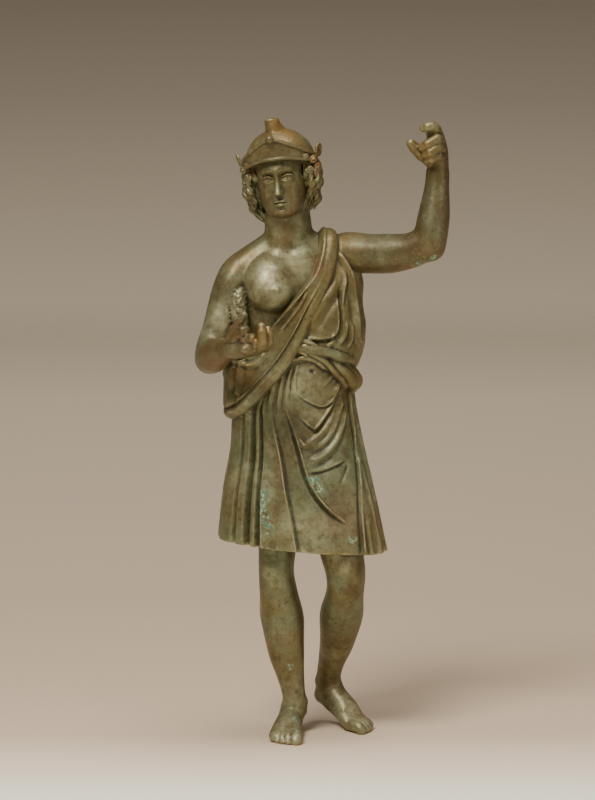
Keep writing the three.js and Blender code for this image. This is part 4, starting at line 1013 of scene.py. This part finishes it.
# Waves of hair fall on both sides to the nape, with round curls at the temples and twisted locks below.
hair = {
    "mass": [  # z, half width, and depth in front of and behind the ears
        [9, 17, 7.5, 16], [5, 18.8, 8, 17], [1.5, 19.5, 8, 17.6], [-2, 19.0, 7.5, 18],
        [-5.5, 17.4, 6.6, 18], [-9, 16.4, 5.6, 18], [-12.5, 16.0, 4.8, 17.4], [-16, 15.2, 4, 16.6],
        [-19.5, 12.8, 3, 15.4], [-23, 9.4, 2, 13], [-25, 7.8, 1.5, 11],
    ],
    "behind": 1.5,  # the mass is centred this far behind the ears
    "lean": 0.16,  # it hangs straight down from the tilted head
    "frontAt": 42,  # degrees forwards, where the depth in front of the ears is measured
    "massAngles": (-50, 90),
    "massLevels": (10, -23),
    "massOut": -1.9,  # the plain mass lies this far inside the locks
    # top and length of each row of locks
    "tiers": [[10, 13], [4.5, 13.5], [-1.5, 13], [-7.5, 12.5], [-12, 11.5]],
    "across": 10,
    "angles": (-43, 133),  # where the first lock of a row hangs, and the degrees that the row takes up
    "lowest": -24,
    "swing": (5, 9),  # degrees to both sides
    "swell": (2.4, 3.4),  # how far the locks stand out
    "girth": 1.2,
    "curls": [  # x, y, z and radius of each, with its open face forwards
        [15.6, -10.2, 10.2, 1.9], [18.9, -6.8, 7.6, 2.1], [19.7, -5.4, 3.6, 2.2], [16.6, -9.2, 3.2, 2.1],
        [-18.4, -7.0, 6.7, 2.2], [-16.4, -9.2, 3.2, 2.1], [-18.4, -6.8, -0.2, 2.2],
        [-15.6, -9.8, 9.6, 1.8],
    ],
    "tresses": [  # the way of each twisted lock at the sides, and its girth
        [[[18.4, -6, 2.4], [19.3, -5.4, -3], [16.8, -5.6, -8], [17.0, -4.6, -13],
         [13.4, -3.6, -18.4]], 2.3],
        [[[16.6, -8.4, 1.4], [16.4, -8.4, -4], [14.8, -7.6, -9], [14.8, -6.2, -14]], 1.8],
        [[[19.2, -1.5, 3], [19.4, -1, -3], [17.4, -1, -9], [17.2, -0.5, -14], [13.8, 0.5, -19.4]], 2.1],
        [[[-18.2, -6, 0], [-19.1, -5.6, -5], [-16.8, -5.6, -10], [-17.0, -4.6, -15],
         [-13.2, -3.6, -20.8]], 2.3],
        [[[-16.4, -8.4, 1.4], [-16.6, -8.4, -4], [-15, -7.6, -9], [-15.2, -6.2, -14]], 1.8],
        [[[-19.2, -1.5, 2], [-19.8, -1, -5], [-18.4, -1, -11], [-18.2, -0.5, -17]], 2.1],
    ],
}


def hairPlace(angle, z, out, side=1):  # angle in degrees back from the side, and how far out of the mass
    table = np.array(hair["mass"], float)[::-1]
    wide, ahead, behind = (np.interp(z, table[:, 0], table[:, i]) for i in (1, 2, 3))
    a = np.radians(angle)
    deep = np.where(a < 0, ahead / math.sin(math.radians(hair["frontAt"])), behind)
    x = side * (wide + out) * np.cos(a) + hair["lean"] * np.minimum(z, 0)
    return np.stack([x, hair["behind"] + (deep + out) * np.sin(a), z + 0 * a], -1)


def hairMass():
    angle = np.linspace(*hair["massAngles"], 70)
    z = np.linspace(*hair["massLevels"], 50)[:, None]
    right, left = (hairPlace(angle + 0 * z, z + 0 * angle, hair["massOut"], side) for side in (1, -1))
    return [skin(np.concatenate([right, left[:, ::-1][:, 1:]], axis=1))]


def waves():  # rows of wavy locks, each of three strands
    draw = np.random.default_rng(7)
    (first, over), across, lowest = hair["angles"], hair["across"], hair["lowest"]
    t = np.linspace(0, 1, 18)
    swell = np.sin(math.pi * (0.06 + 0.86 * t))
    taper = 0.3 + 0.72 * np.sin(math.pi * (0.12 + 0.82 * t))
    parted = 5.0 * np.sin(math.pi * (0.2 + 0.74 * t))
    made = []
    for side in (-1, 1):
        for tier, (top, length) in enumerate(hair["tiers"]):
            for k in range(across):
                start = first + over * (k + 0.5 * (tier % 2)) / (across - 0.5) + draw.uniform(-3, 3)
                swing, phase = draw.uniform(*hair["swing"]), draw.uniform(-0.6, 0.6)
                reach = length * draw.uniform(0.88, 1.12)
                way = start + 5 * t + swing * np.sin(fullTurn * (0.8 * t + 0.15) + phase) * (0.4 + t)
                height = np.maximum(top - reach * t, lowest)
                out = -1.7 + draw.uniform(*hair["swell"]) * swell
                girth = hair["girth"] * draw.uniform(0.9, 1.1) * taper
                for beside, proud in ((-1, -0.25), (0, 0.35), (1, -0.25)):
                    line = hairPlace(way + beside * parted, height, out + proud, side)
                    made.append(strand(line, girth * 0.66, rings=34, sides=9))
    return made


def curls():  # a small spiral on a ball
    made = []
    share = np.linspace(0, 1, 26)
    for x, y, z, r in hair["curls"]:
        place = np.array([x, y, z], float)
        outward = unit(np.array([0.035 * x, -1.0, 0.12]))
        beside = unit(np.cross(up, outward)) * np.sign(x)
        turn = 1.45 * fullTurn * share + 0.9 * z
        reach = r * (1 - 0.92 * share)
        line = place + np.outer(reach * np.cos(turn), beside) + np.outer(reach * np.sin(turn), up)
        line += np.outer(0.1 + 1.1 * share, outward)
        made.append(strand(line, 0.6 + 0.15 * share, rings=70))
        made.append(ball(place - outward * (0.72 * r), [r, r, r], sides=24, rows=14))
    return made


def tresses():  # three strands twisted round each other
    made = []
    t = np.linspace(0, 1, 40)
    for way, girth in hair["tresses"]:
        centre, tangent = curve(way, t)
        beside = unit(np.cross(tangent, front))
        deep = np.cross(beside, tangent)
        size = girth * np.sin(math.pi * (0.2 + 0.74 * t)) * (1 + 0.2 * np.sin(fullTurn * 2.6 * t + girth))
        for part in range(3):
            turn = (fullTurn * (part / 3 - 1.5 * t * np.sign(way[0][0])))[:, None]
            line = centre + 0.58 * size[:, None] * (np.cos(turn) * beside + np.sin(turn) * deep)
            made.append(strand(line, 0.56 * size, rings=80, sides=12))
    return made


def wholeHead():
    pieces = calmFace() + helmetBowl() + frontlet() + crestStump() + earPlates()
    return [moved(piece, headPlace) for piece in pieces + hairMass() + waves() + curls() + tresses()]


# Corrosion: crumbs in the armpit, rough patches, and crusts where the photograph shows blue-green.
corrosion = {
    "crumb": [
        [-23, 1, 243, 3.0], [-25.2, -2.6, 236, 4.9], [-25.4, -3.2, 229, 4.9], [-24, -1.2, 221, 4.3],
        [-25, -2, 213, 3.6],
    ],
    "rough": [  # place, reach, depth
        [-23.5, -6, 234, 8, 1.2], [-26, -7, 222, 6, 0.9], [-1, -18, 4, 10, 0.4], [38, 13, 6, 11, 0.3],
        [33, 18, 12, 9, 0.3],
    ],
    "crustHeight": 0.16,
    "crusts": [  # place and reach of the blue-green patches
        [-12.8, -22, 133, 4.4], [-12.4, -23, 124, 4.2], [-11, -24, 115, 4.8], [13.6, -21, 142, 3.8],
        [16.6, -22, 137, 2.8], [68.5, -19, 254.5, 4.2], [76, -19, 258.5, 2.6], [1, 2, 19, 3.5],
        [5.5, -3, 10, 4], [37.5, 12.5, 9.5, 3.6], [35, -18.8, 108, 4.2], [-5.5, -8, 76, 2], [6, -17, 5, 4],
        [1, 2, 38, 3],
    ],
}


# The space round the head is spread out while the pieces are melted together, so that its voxels are finer.
def spread(spots, back=False):
    reach, finer = casting["headReach"], casting["headFiner"]
    away = spots - np.array(casting["headCentre"], float)
    far = np.maximum(np.linalg.norm(away, axis=-1, keepdims=True), 1e-9)
    if back:
        scaled = np.where(far < reach * finer, far / finer, far - reach * (finer - 1))
    else:
        scaled = np.where(far < reach, far * finer, far + reach * (finer - 1))
    return casting["headCentre"] + away * scaled / far


def outerSkin(spots, faces):  # the largest connected skin, without the bubbles shut in between the forms
    label = np.arange(len(spots))
    before = None
    while not np.array_equal(label, before):
        before = label.copy()
        lowest = before[faces].min(axis=1)
        for corner in faces.T:
            np.minimum.at(label, before[corner], lowest)
        label = label[label]
    kept = label == np.bincount(label).argmax()
    number = np.cumsum(kept) - 1
    return spots[kept], number[faces[kept[faces[:, 0]]]]


def melted(pieces):
    voxel = casting["voxel"] * 1
    spots, faces = together(pieces)
    mesh = fused("cast", [(spread(spots), faces)], voxel, casting["relax"])
    spots, faces = outerSkin(spread(spotsOf(mesh), back=True), facesOf(mesh))
    bpy.data.meshes.remove(mesh)
    return spots, faces


def normalsFor(spots, faces):
    mesh = meshOf("measured", spots, faces)
    normals = normalsOf(mesh)
    bpy.data.meshes.remove(mesh)
    return normals


def castStatuette():
    pieces = (bareBody() + bothHands() + bothFeet() + tunicSkirt() + tunicTop() + waistBelts() + slungCloak()
              + wholeHead() + [skin(loft(corrosion["crumb"], sides=24, rings=24, domes=(2, 4)))])
    print("modelled", len(pieces), "shapes")
    spots, faces = melted(pieces)
    spots = carveFace(spots)
    normals = normalsFor(spots, faces)
    print("melted them into one skin of", len(faces), "triangles")
    sand, coarse = (grain(spots, size, seed) for seed, size in enumerate(casting["sandSizes"], 1))
    rise = casting["sandDepth"] * (sand + coarse - 1)
    for *place, reach, depth in corrosion["rough"]:
        rise += depth * near(spots, place, reach) * (grain(spots, 1.5, 3) + 0.6 * grain(spots, 0.8, 4) - 0.8)
    crust = np.clip(sum(near(spots, place, reach) for *place, reach in corrosion["crusts"]), 0, 1)
    crust *= smooth(0.34, 0.62, grain(spots, 1.7, 6) * 0.55 + grain(spots, 0.8, 8) * 0.45)
    spots = spots + normals * (rise + corrosion["crustHeight"] * crust)[:, None]
    spots[:, 2] = np.maximum(spots[:, 2], 0)

    marks = {name: np.clip(heaped(spots, places), 0, 1) for name, places in zones.items()}
    marks["crust"] = crust
    for name, (rounds, reach) in casting["hollowness"].items():
        mesh = worked("relaxed", spots, faces, [("SMOOTH", {"factor": 0.9, "iterations": rounds})])
        marks[name] = np.clip(((spotsOf(mesh) - spots) * normals).sum(-1) / reach, -1, 1) * 0.5 + 0.5
        bpy.data.meshes.remove(mesh)
    share = min(1.0, casting["triangles"] / len(faces))
    mesh = worked("statuette", spots * millimetre, faces, [("DECIMATE", {"ratio": share})], marks)
    finished = spotsOf(mesh)
    finished[:, 2] = np.maximum(finished[:, 2], 0)
    mesh.vertices.foreach_set("co", finished.astype(np.float32).ravel())
    mesh.shade_smooth()
    print("finished the skin with", len(mesh.polygons), "triangles")
    return mesh


# Where the bronze has gone pale, red, brown or golden: x, y, z, reach and strength. Some of the pale is
# painted light on the feet and a painted highlight on the breast, and some of the umber is a painted shadow
# under the chin.
zones = {
    "paleAndPaintedLight": [
        # the first spot, on the breast, is partly the pale patina and partly a painted highlight
        [-9, -14, 247, 12, 0.8], [-22, -3, 246, 8, 0.3], [3, -20, 192, 12, 0.6], [14, -20, 196, 8, 0.3],
        [1, -6, 262, 8, 0.3], [20, -22, 118, 12, 0.6], [2, -22, 118, 8, 0.5], [44, -12, 130, 11, 0.5],
        [-33, -6, 226, 7, 0.6], [3, 2, 22, 12, 0.4], [-28, -12, 135, 9, 0.4], [-38, -4, 216, 7, 0.4],
        # the last three spots on the next line and the first on the line after it brighten the tops of the
        # feet: painted light
        [-33, -7, 228, 7, 0.5], [3, -14, 12, 12, 0.9], [-1, -19, 5, 10, 0.9], [34, 17, 10, 12, 0.9],
        [41, 11, 5, 8, 0.8], [-25, -7, 234, 8, 0.3], [24, 6, 40, 10, 0.4], [40, -18, 125, 8, 0.5],
        [37, -18, 150, 6, 0.4],
    ],
    "ruddy": [
        [-33, -24, 208, 11, 0.6], [-24, -42, 212, 8, 0.6], [78, -12, 268, 9, 0.8], [66, -10, 254, 8, 0.7],
        [-14, -9, 216, 6, 0.9], [18, -8, 305, 5, 1.0], [15.5, -8, 309, 4, 1.0], [-19, -6, 303, 5, 0.7],
        [-4, -22, 150, 7, 0.3], [32, -20, 118, 8, 0.25], [16, -14, 252, 6, 0.6], [-6, -24, 126, 7, 0.2],
        [-42, 2, 205, 7, 0.25], [-25, -44, 223, 6, 0.8], [1, -4, 268, 5, 0.3], [-2, -14, 283, 6, 0.4],
        [4, 0, 55, 7, 0.4],
    ],
    "umberAndPaintedShadow": [
        [44, -6, 258, 12, 0.8], [60, -12, 258, 12, 0.9], [77, -14, 270, 14, 0.8], [79, -12, 292, 14, 0.8],
        [79, -14, 310, 12, 0.7], [-34, -22, 206, 12, 0.9], [-24, -42, 212, 9, 0.6], [-40, -4, 206, 9, 0.7],
        [4, -22, 160, 16, 0.5], [30, -20, 125, 12, 0.8], [-26, -16, 130, 10, 0.3], [28, 8, 60, 16, 0.6],
        # the first three spots on the next line darken the neck under the chin: a painted shadow
        [-9, -14, 275, 8, 0.5], [-1, -6, 281, 10, 1.0], [-6, -8, 290, 8, 0.6], [-4, -17, 314, 10, 0.9],
        [-24, -4, 234, 7, 0.6], [-30, -4, 180, 9, 0.7], [2, -20, 170, 12, 0.4], [-36, -2, 240, 7, 0.5],
        [-25, -46, 225, 8, 0.8], [-20, -50, 220, 7, 0.8], [-23, -2, 290, 8, 0.8], [-20, -2, 281, 7, 0.8],
        [16, -2, 292, 7, 0.8], [14, -2, 284, 6, 0.8], [-8, -8, 222, 9, 0.4],
    ],
    "golden": [
        [-13, -54, 221, 6, 1.0], [6, -8, 321, 12, 0.9], [-4, 0, 328, 8, 0.8], [-18, -3, 312, 7, 0.5],
        [30, 0, 266, 12, 0.6], [-22, 0, 250, 12, 0.4], [27, -10, 250, 9, 0.4], [40, 12, 6, 9, 0.7],
        [22, 20, 60, 10, 0.4], [-24, -12, 198, 9, 0.8], [10, -21, 232, 10, 0.5], [45, -4, 112, 10, 0.4],
        [70, -19, 316, 12, 0.6], [2, -14, 8, 9, 0.5], [33, -2, 196, 8, 0.5],
    ],
}


# Bronze under an olive patina, worn to ochre on the ridges and dark in the hollows; the dark in the hollows
# is partly patina and partly painted shade.
def sRgb(r, g, b):
    shares = (r / 255, g / 255, b / 255)
    return (*(v / 12.92 if v <= 0.04045 else ((v + 0.055) / 1.055) ** 2.4 for v in shares), 1.0)


patina = {
    "olive": (103, 94, 56), "green": (104, 108, 76), "brown": (80, 62, 34), "dark": (26, 23, 13),
    "paleAndPaintedLight": (172, 168, 132), "ochre": (180, 148, 90), "ruddy": (122, 80, 46), "golden": (128, 97, 46),
    "umberAndPaintedShadow": (74, 57, 30), "crustLight": (154, 164, 128), "crustDeep": (76, 112, 94),
    # bumps a metre and detail of each pattern
    "cloudy": (38, 4), "wash": (66, 5), "blotch": (110, 5), "mottle": (300, 4),
    "fleck": (620, 3), "fine": (1500, 2),
    "metal": 0.45,
    "roughness": 0.33,
    "bump": (0.35, 0.00035),
}


def bronzePatina():
    material = bpy.data.materials.new("bronzePatina")
    material.use_nodes = True
    tree = material.node_tree
    tree.nodes.clear()
    link = tree.links.new

    def node(kind, **settings):
        made = tree.nodes.new(kind)
        for key, value in settings.items():
            setattr(made, key, value)
        return made

    def mark(name):
        return node("ShaderNodeAttribute", attribute_name=name).outputs["Fac"]

    place = node("ShaderNodeTexCoord").outputs["Object"]

    def noise(name):
        made = node("ShaderNodeTexNoise")
        link(place, made.inputs["Vector"])
        for socket, value in zip(("Scale", "Detail", "Roughness"), (*patina[name], 0.55)):
            made.inputs[socket].default_value = value
        return made.outputs["Fac"]

    def ramp(value, low, high):
        made = node("ShaderNodeMapRange", interpolation_type="SMOOTHSTEP")
        link(value, made.inputs["Value"])
        made.inputs["From Min"].default_value, made.inputs["From Max"].default_value = low, high
        return made.outputs["Result"]

    def maths(operation, *values):
        made = node("ShaderNodeMath", operation=operation)
        for socket, value in zip(made.inputs, values):
            if isinstance(value, (int, float)):
                socket.default_value = value
            else:
                link(value, socket)
        return made.outputs[0]

    def times(a, b):
        return maths("MULTIPLY", a, b)

    def mix(share, a, b):
        made = node("ShaderNodeMix", data_type="RGBA")
        link(share, made.inputs["Factor"])
        for name, value in (("A", a), ("B", b)):
            socket = [s for s in made.inputs if s.name == name and s.type == "RGBA"][0]
            if isinstance(value, str):
                socket.default_value = sRgb(*patina[value])
            else:
                link(value, socket)
        return [s for s in made.outputs if s.type == "RGBA"][0]

    cloudy, wash, blotch, mottle, fleck, fine = (
        noise(name) for name in ("cloudy", "wash", "blotch", "mottle", "fleck", "fine"))
    patchy = maths("ADD", times(blotch, 0.5), times(mottle, 0.5))
    worn = mix(ramp(patchy, 0.42, 0.58), "ochre", "paleAndPaintedLight")
    proud = times(ramp(mark("fine"), 0.42, 0.10), ramp(patchy, 0.36, 0.6))
    hollow = maths("MAXIMUM", ramp(mark("fine"), 0.55, 0.82), times(ramp(mark("broad"), 0.54, 0.88), 0.9))
    crustColour = mix(ramp(fleck, 0.42, 0.6), "crustDeep", "crustLight")
    colour = "olive"
    layers = [  # each lies over the ones before it
        (ramp(cloudy, 0.42, 0.58), "green"),
        (times(ramp(wash, 0.53, 0.66), 0.3), "paleAndPaintedLight"),
        (times(ramp(wash, 0.47, 0.34), 0.55), "umberAndPaintedShadow"),
        (times(ramp(patchy, 0.46, 0.62), 0.5), "brown"),
        # pale patina, with painted light on the feet and a painted highlight on the breast
        (times(mark("paleAndPaintedLight"), ramp(patchy, 0.75, 0.3)), "paleAndPaintedLight"),
        # brown patina, and the painted shadow on the neck under the chin
        (times(mark("umberAndPaintedShadow"), maths("ADD", 0.35, times(patchy, 0.7))), "umberAndPaintedShadow"),
        (times(mark("golden"), ramp(patchy, 0.34, 0.58)), "golden"),
        (times(mark("ruddy"), ramp(patchy, 0.36, 0.56)), "ruddy"),
        (times(proud, 0.62), worn),
        # patina gathered in the hollows, together with painted shade in recesses, creases and between parts
        (times(hollow, 0.88), "dark"),
        (times(ramp(fleck, 0.58, 0.7), 0.45), "dark"),
        (times(ramp(fleck, 0.42, 0.30), 0.14), "paleAndPaintedLight"),
        (ramp(mark("crust"), 0.15, 0.7), crustColour),
    ]
    for share, tone in layers:
        colour = mix(share, colour, tone)

    shader = node("ShaderNodeBsdfPrincipled")
    dull = maths("MAXIMUM", hollow, mark("crust"))
    rough = maths("ADD", times(blotch, 0.22), patina["roughness"])
    bump = node("ShaderNodeBump")
    bump.inputs["Strength"].default_value, bump.inputs["Distance"].default_value = patina["bump"]
    link(maths("ADD", times(fleck, 0.6), times(fine, 0.4)), bump.inputs["Height"])
    link(colour, shader.inputs["Base Color"])
    link(maths("ADD", rough, times(dull, 0.25)), shader.inputs["Roughness"])
    link(times(maths("SUBTRACT", 1.0, dull), patina["metal"]), shader.inputs["Metallic"])
    link(bump.outputs["Normal"], shader.inputs["Normal"])
    link(shader.outputs["BSDF"], node("ShaderNodeOutputMaterial").inputs["Surface"])
    return material


mesh = castStatuette()
mesh.materials.append(bronzePatina())
statuette = bpy.data.objects.new("goddessStatuette", mesh)
bpy.context.scene.collection.objects.link(statuette)
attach(statuette, "root")
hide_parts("statuette")
print("placed the statuette")

# A pale floor that runs up into a wall, with light and shade painted into its colour: brightest just before
# the statuette, a painted shadow on the floor round and behind its feet, and painted shade that darkens the
# wall to taupe towards its top.
studio = {
    "wallBehind": 1.9,  # far enough for a camera that goes round the statuette
    "bend": 0.8,
    "bendSteps": 16,
    "levelTo": 1.14,
    "near": -3.5,
    "wallTop": 3.2,
    "across": (-3.5, -1.0, 0.0, 1.0, 3.5),
    # colour by depth: metres behind the statuette plus twice the height; its changes of tone are painted
    # light and shade
    "depths": [
        (-0.13, (252, 250, 228)), (-0.07, (241, 219, 195)), (0, (209, 187, 160)), (0.14, (200, 178, 152)),
        (0.39, (196, 177, 150)), (0.79, (217, 197, 173)), (1.38, (250, 233, 206)), (2.13, (250, 236, 212)),
        (2.56, (215, 202, 181)), (2.93, (180, 169, 154)), (3.26, (153, 143, 127)),
    ],
    "floorRoughness": 0.85,
    "aim": (0.0055, 0.0, 0.1813),
    "elevation": 7.5,
    "distance": 1.8,
    "lens": 153.45,
    "lights": [  # name, place, size, watts, colour
        ["keyLight", (-0.5, -0.85, 1.5), 0.6, 30, (1.0, 0.97, 0.92)],
        ["fillLight", (0.95, -0.85, 0.5), 0.9, 3.2, (1.0, 0.95, 0.89)],
        ["topLight", (0.1, -0.05, 1.4), 0.5, 8, (1.0, 0.97, 0.93)],
    ],
    "air": (0.93, 0.84, 0.74, 1),
    "ambient": 0.24,
}


def floorWithPaintedShade():
    material = bpy.data.materials.new("floorWithPaintedShade")
    material.use_nodes = True
    tree = material.node_tree
    link = tree.links.new
    shader = tree.nodes["Principled BSDF"]
    place, split, depth, share, ramp = (tree.nodes.new("ShaderNode" + kind) for kind in (
        "NewGeometry", "SeparateXYZ", "Math", "MapRange", "ValToRGB"))
    shader.inputs["Roughness"].default_value = studio["floorRoughness"]
    depth.operation = "MULTIPLY_ADD"
    depth.inputs[1].default_value = 2
    first, last = studio["depths"][0][0], studio["depths"][-1][0]
    share.inputs["From Min"].default_value, share.inputs["From Max"].default_value = first, last
    link(place.outputs["Position"], split.inputs[0])
    link(split.outputs["Z"], depth.inputs[0])
    link(split.outputs["Y"], depth.inputs[2])
    link(depth.outputs[0], share.inputs["Value"])
    link(share.outputs["Result"], ramp.inputs["Fac"])
    link(ramp.outputs["Color"], shader.inputs["Base Color"])
    stops = ramp.color_ramp.elements
    for i, (far, colour) in enumerate(studio["depths"]):
        stop = stops[i] if i < 2 else stops.new(1.0)
        stop.position = (far - first) / (last - first)
        stop.color = sRgb(*colour)
    return material


def backdrop():
    behind, bend, steps = studio["wallBehind"], studio["bend"], studio["bendSteps"]
    profile = [(studio["near"], 0.0), (-1.0, 0.0), (0.0, 0.0), (studio["levelTo"], 0.0)]
    for i in range(steps + 1):
        a = math.pi / 2 * i / steps
        profile.append((behind + bend * math.sin(a), bend * (1 - math.cos(a))))
    profile.append((behind + bend, studio["wallTop"]))
    wide = len(studio["across"])
    spots = np.array([[x, y, z] for y, z in profile for x in studio["across"]])
    starts = [r * wide + c for r in range(len(profile) - 1) for c in range(wide - 1)]
    mesh = meshOf("backdrop", spots, np.array([[s, s + 1, s + wide + 1, s + wide] for s in starts]))
    mesh.shade_smooth()
    mesh.materials.append(floorWithPaintedShade())
    stage = bpy.data.objects.new("backdrop", mesh)
    bpy.context.scene.collection.objects.link(stage)


def aimed(thing, place, aim):
    thing.location = place
    thing.rotation_euler = (aim - Vector(place)).to_track_quat("-Z", "Y").to_euler()
    bpy.context.scene.collection.objects.link(thing)
    return thing


def lightsAndCamera():
    scene = bpy.context.scene
    aim = Vector(studio["aim"])
    for name, place, size, watts, colour in studio["lights"]:
        lamp = bpy.data.lights.new(name, "AREA")
        lamp.size, lamp.energy, lamp.color = size, watts, colour
        aimed(bpy.data.objects.new(name, lamp), place, aim)
    world = bpy.data.worlds.new("studioAir")
    world.use_nodes = True
    world.node_tree.nodes["Background"].inputs["Color"].default_value = studio["air"]
    world.node_tree.nodes["Background"].inputs["Strength"].default_value = studio["ambient"]
    scene.world = world
    lens = bpy.data.cameras.new("camera")
    lens.lens = studio["lens"]
    lens.sensor_width = 36
    lens.clip_end = 20
    rise = math.radians(studio["elevation"])
    place = aim + studio["distance"] * Vector((0, -math.cos(rise), math.sin(rise)))
    scene.camera = aimed(bpy.data.objects.new("camera", lens), place, aim)


backdrop()
lightsAndCamera()
print("set the stage")
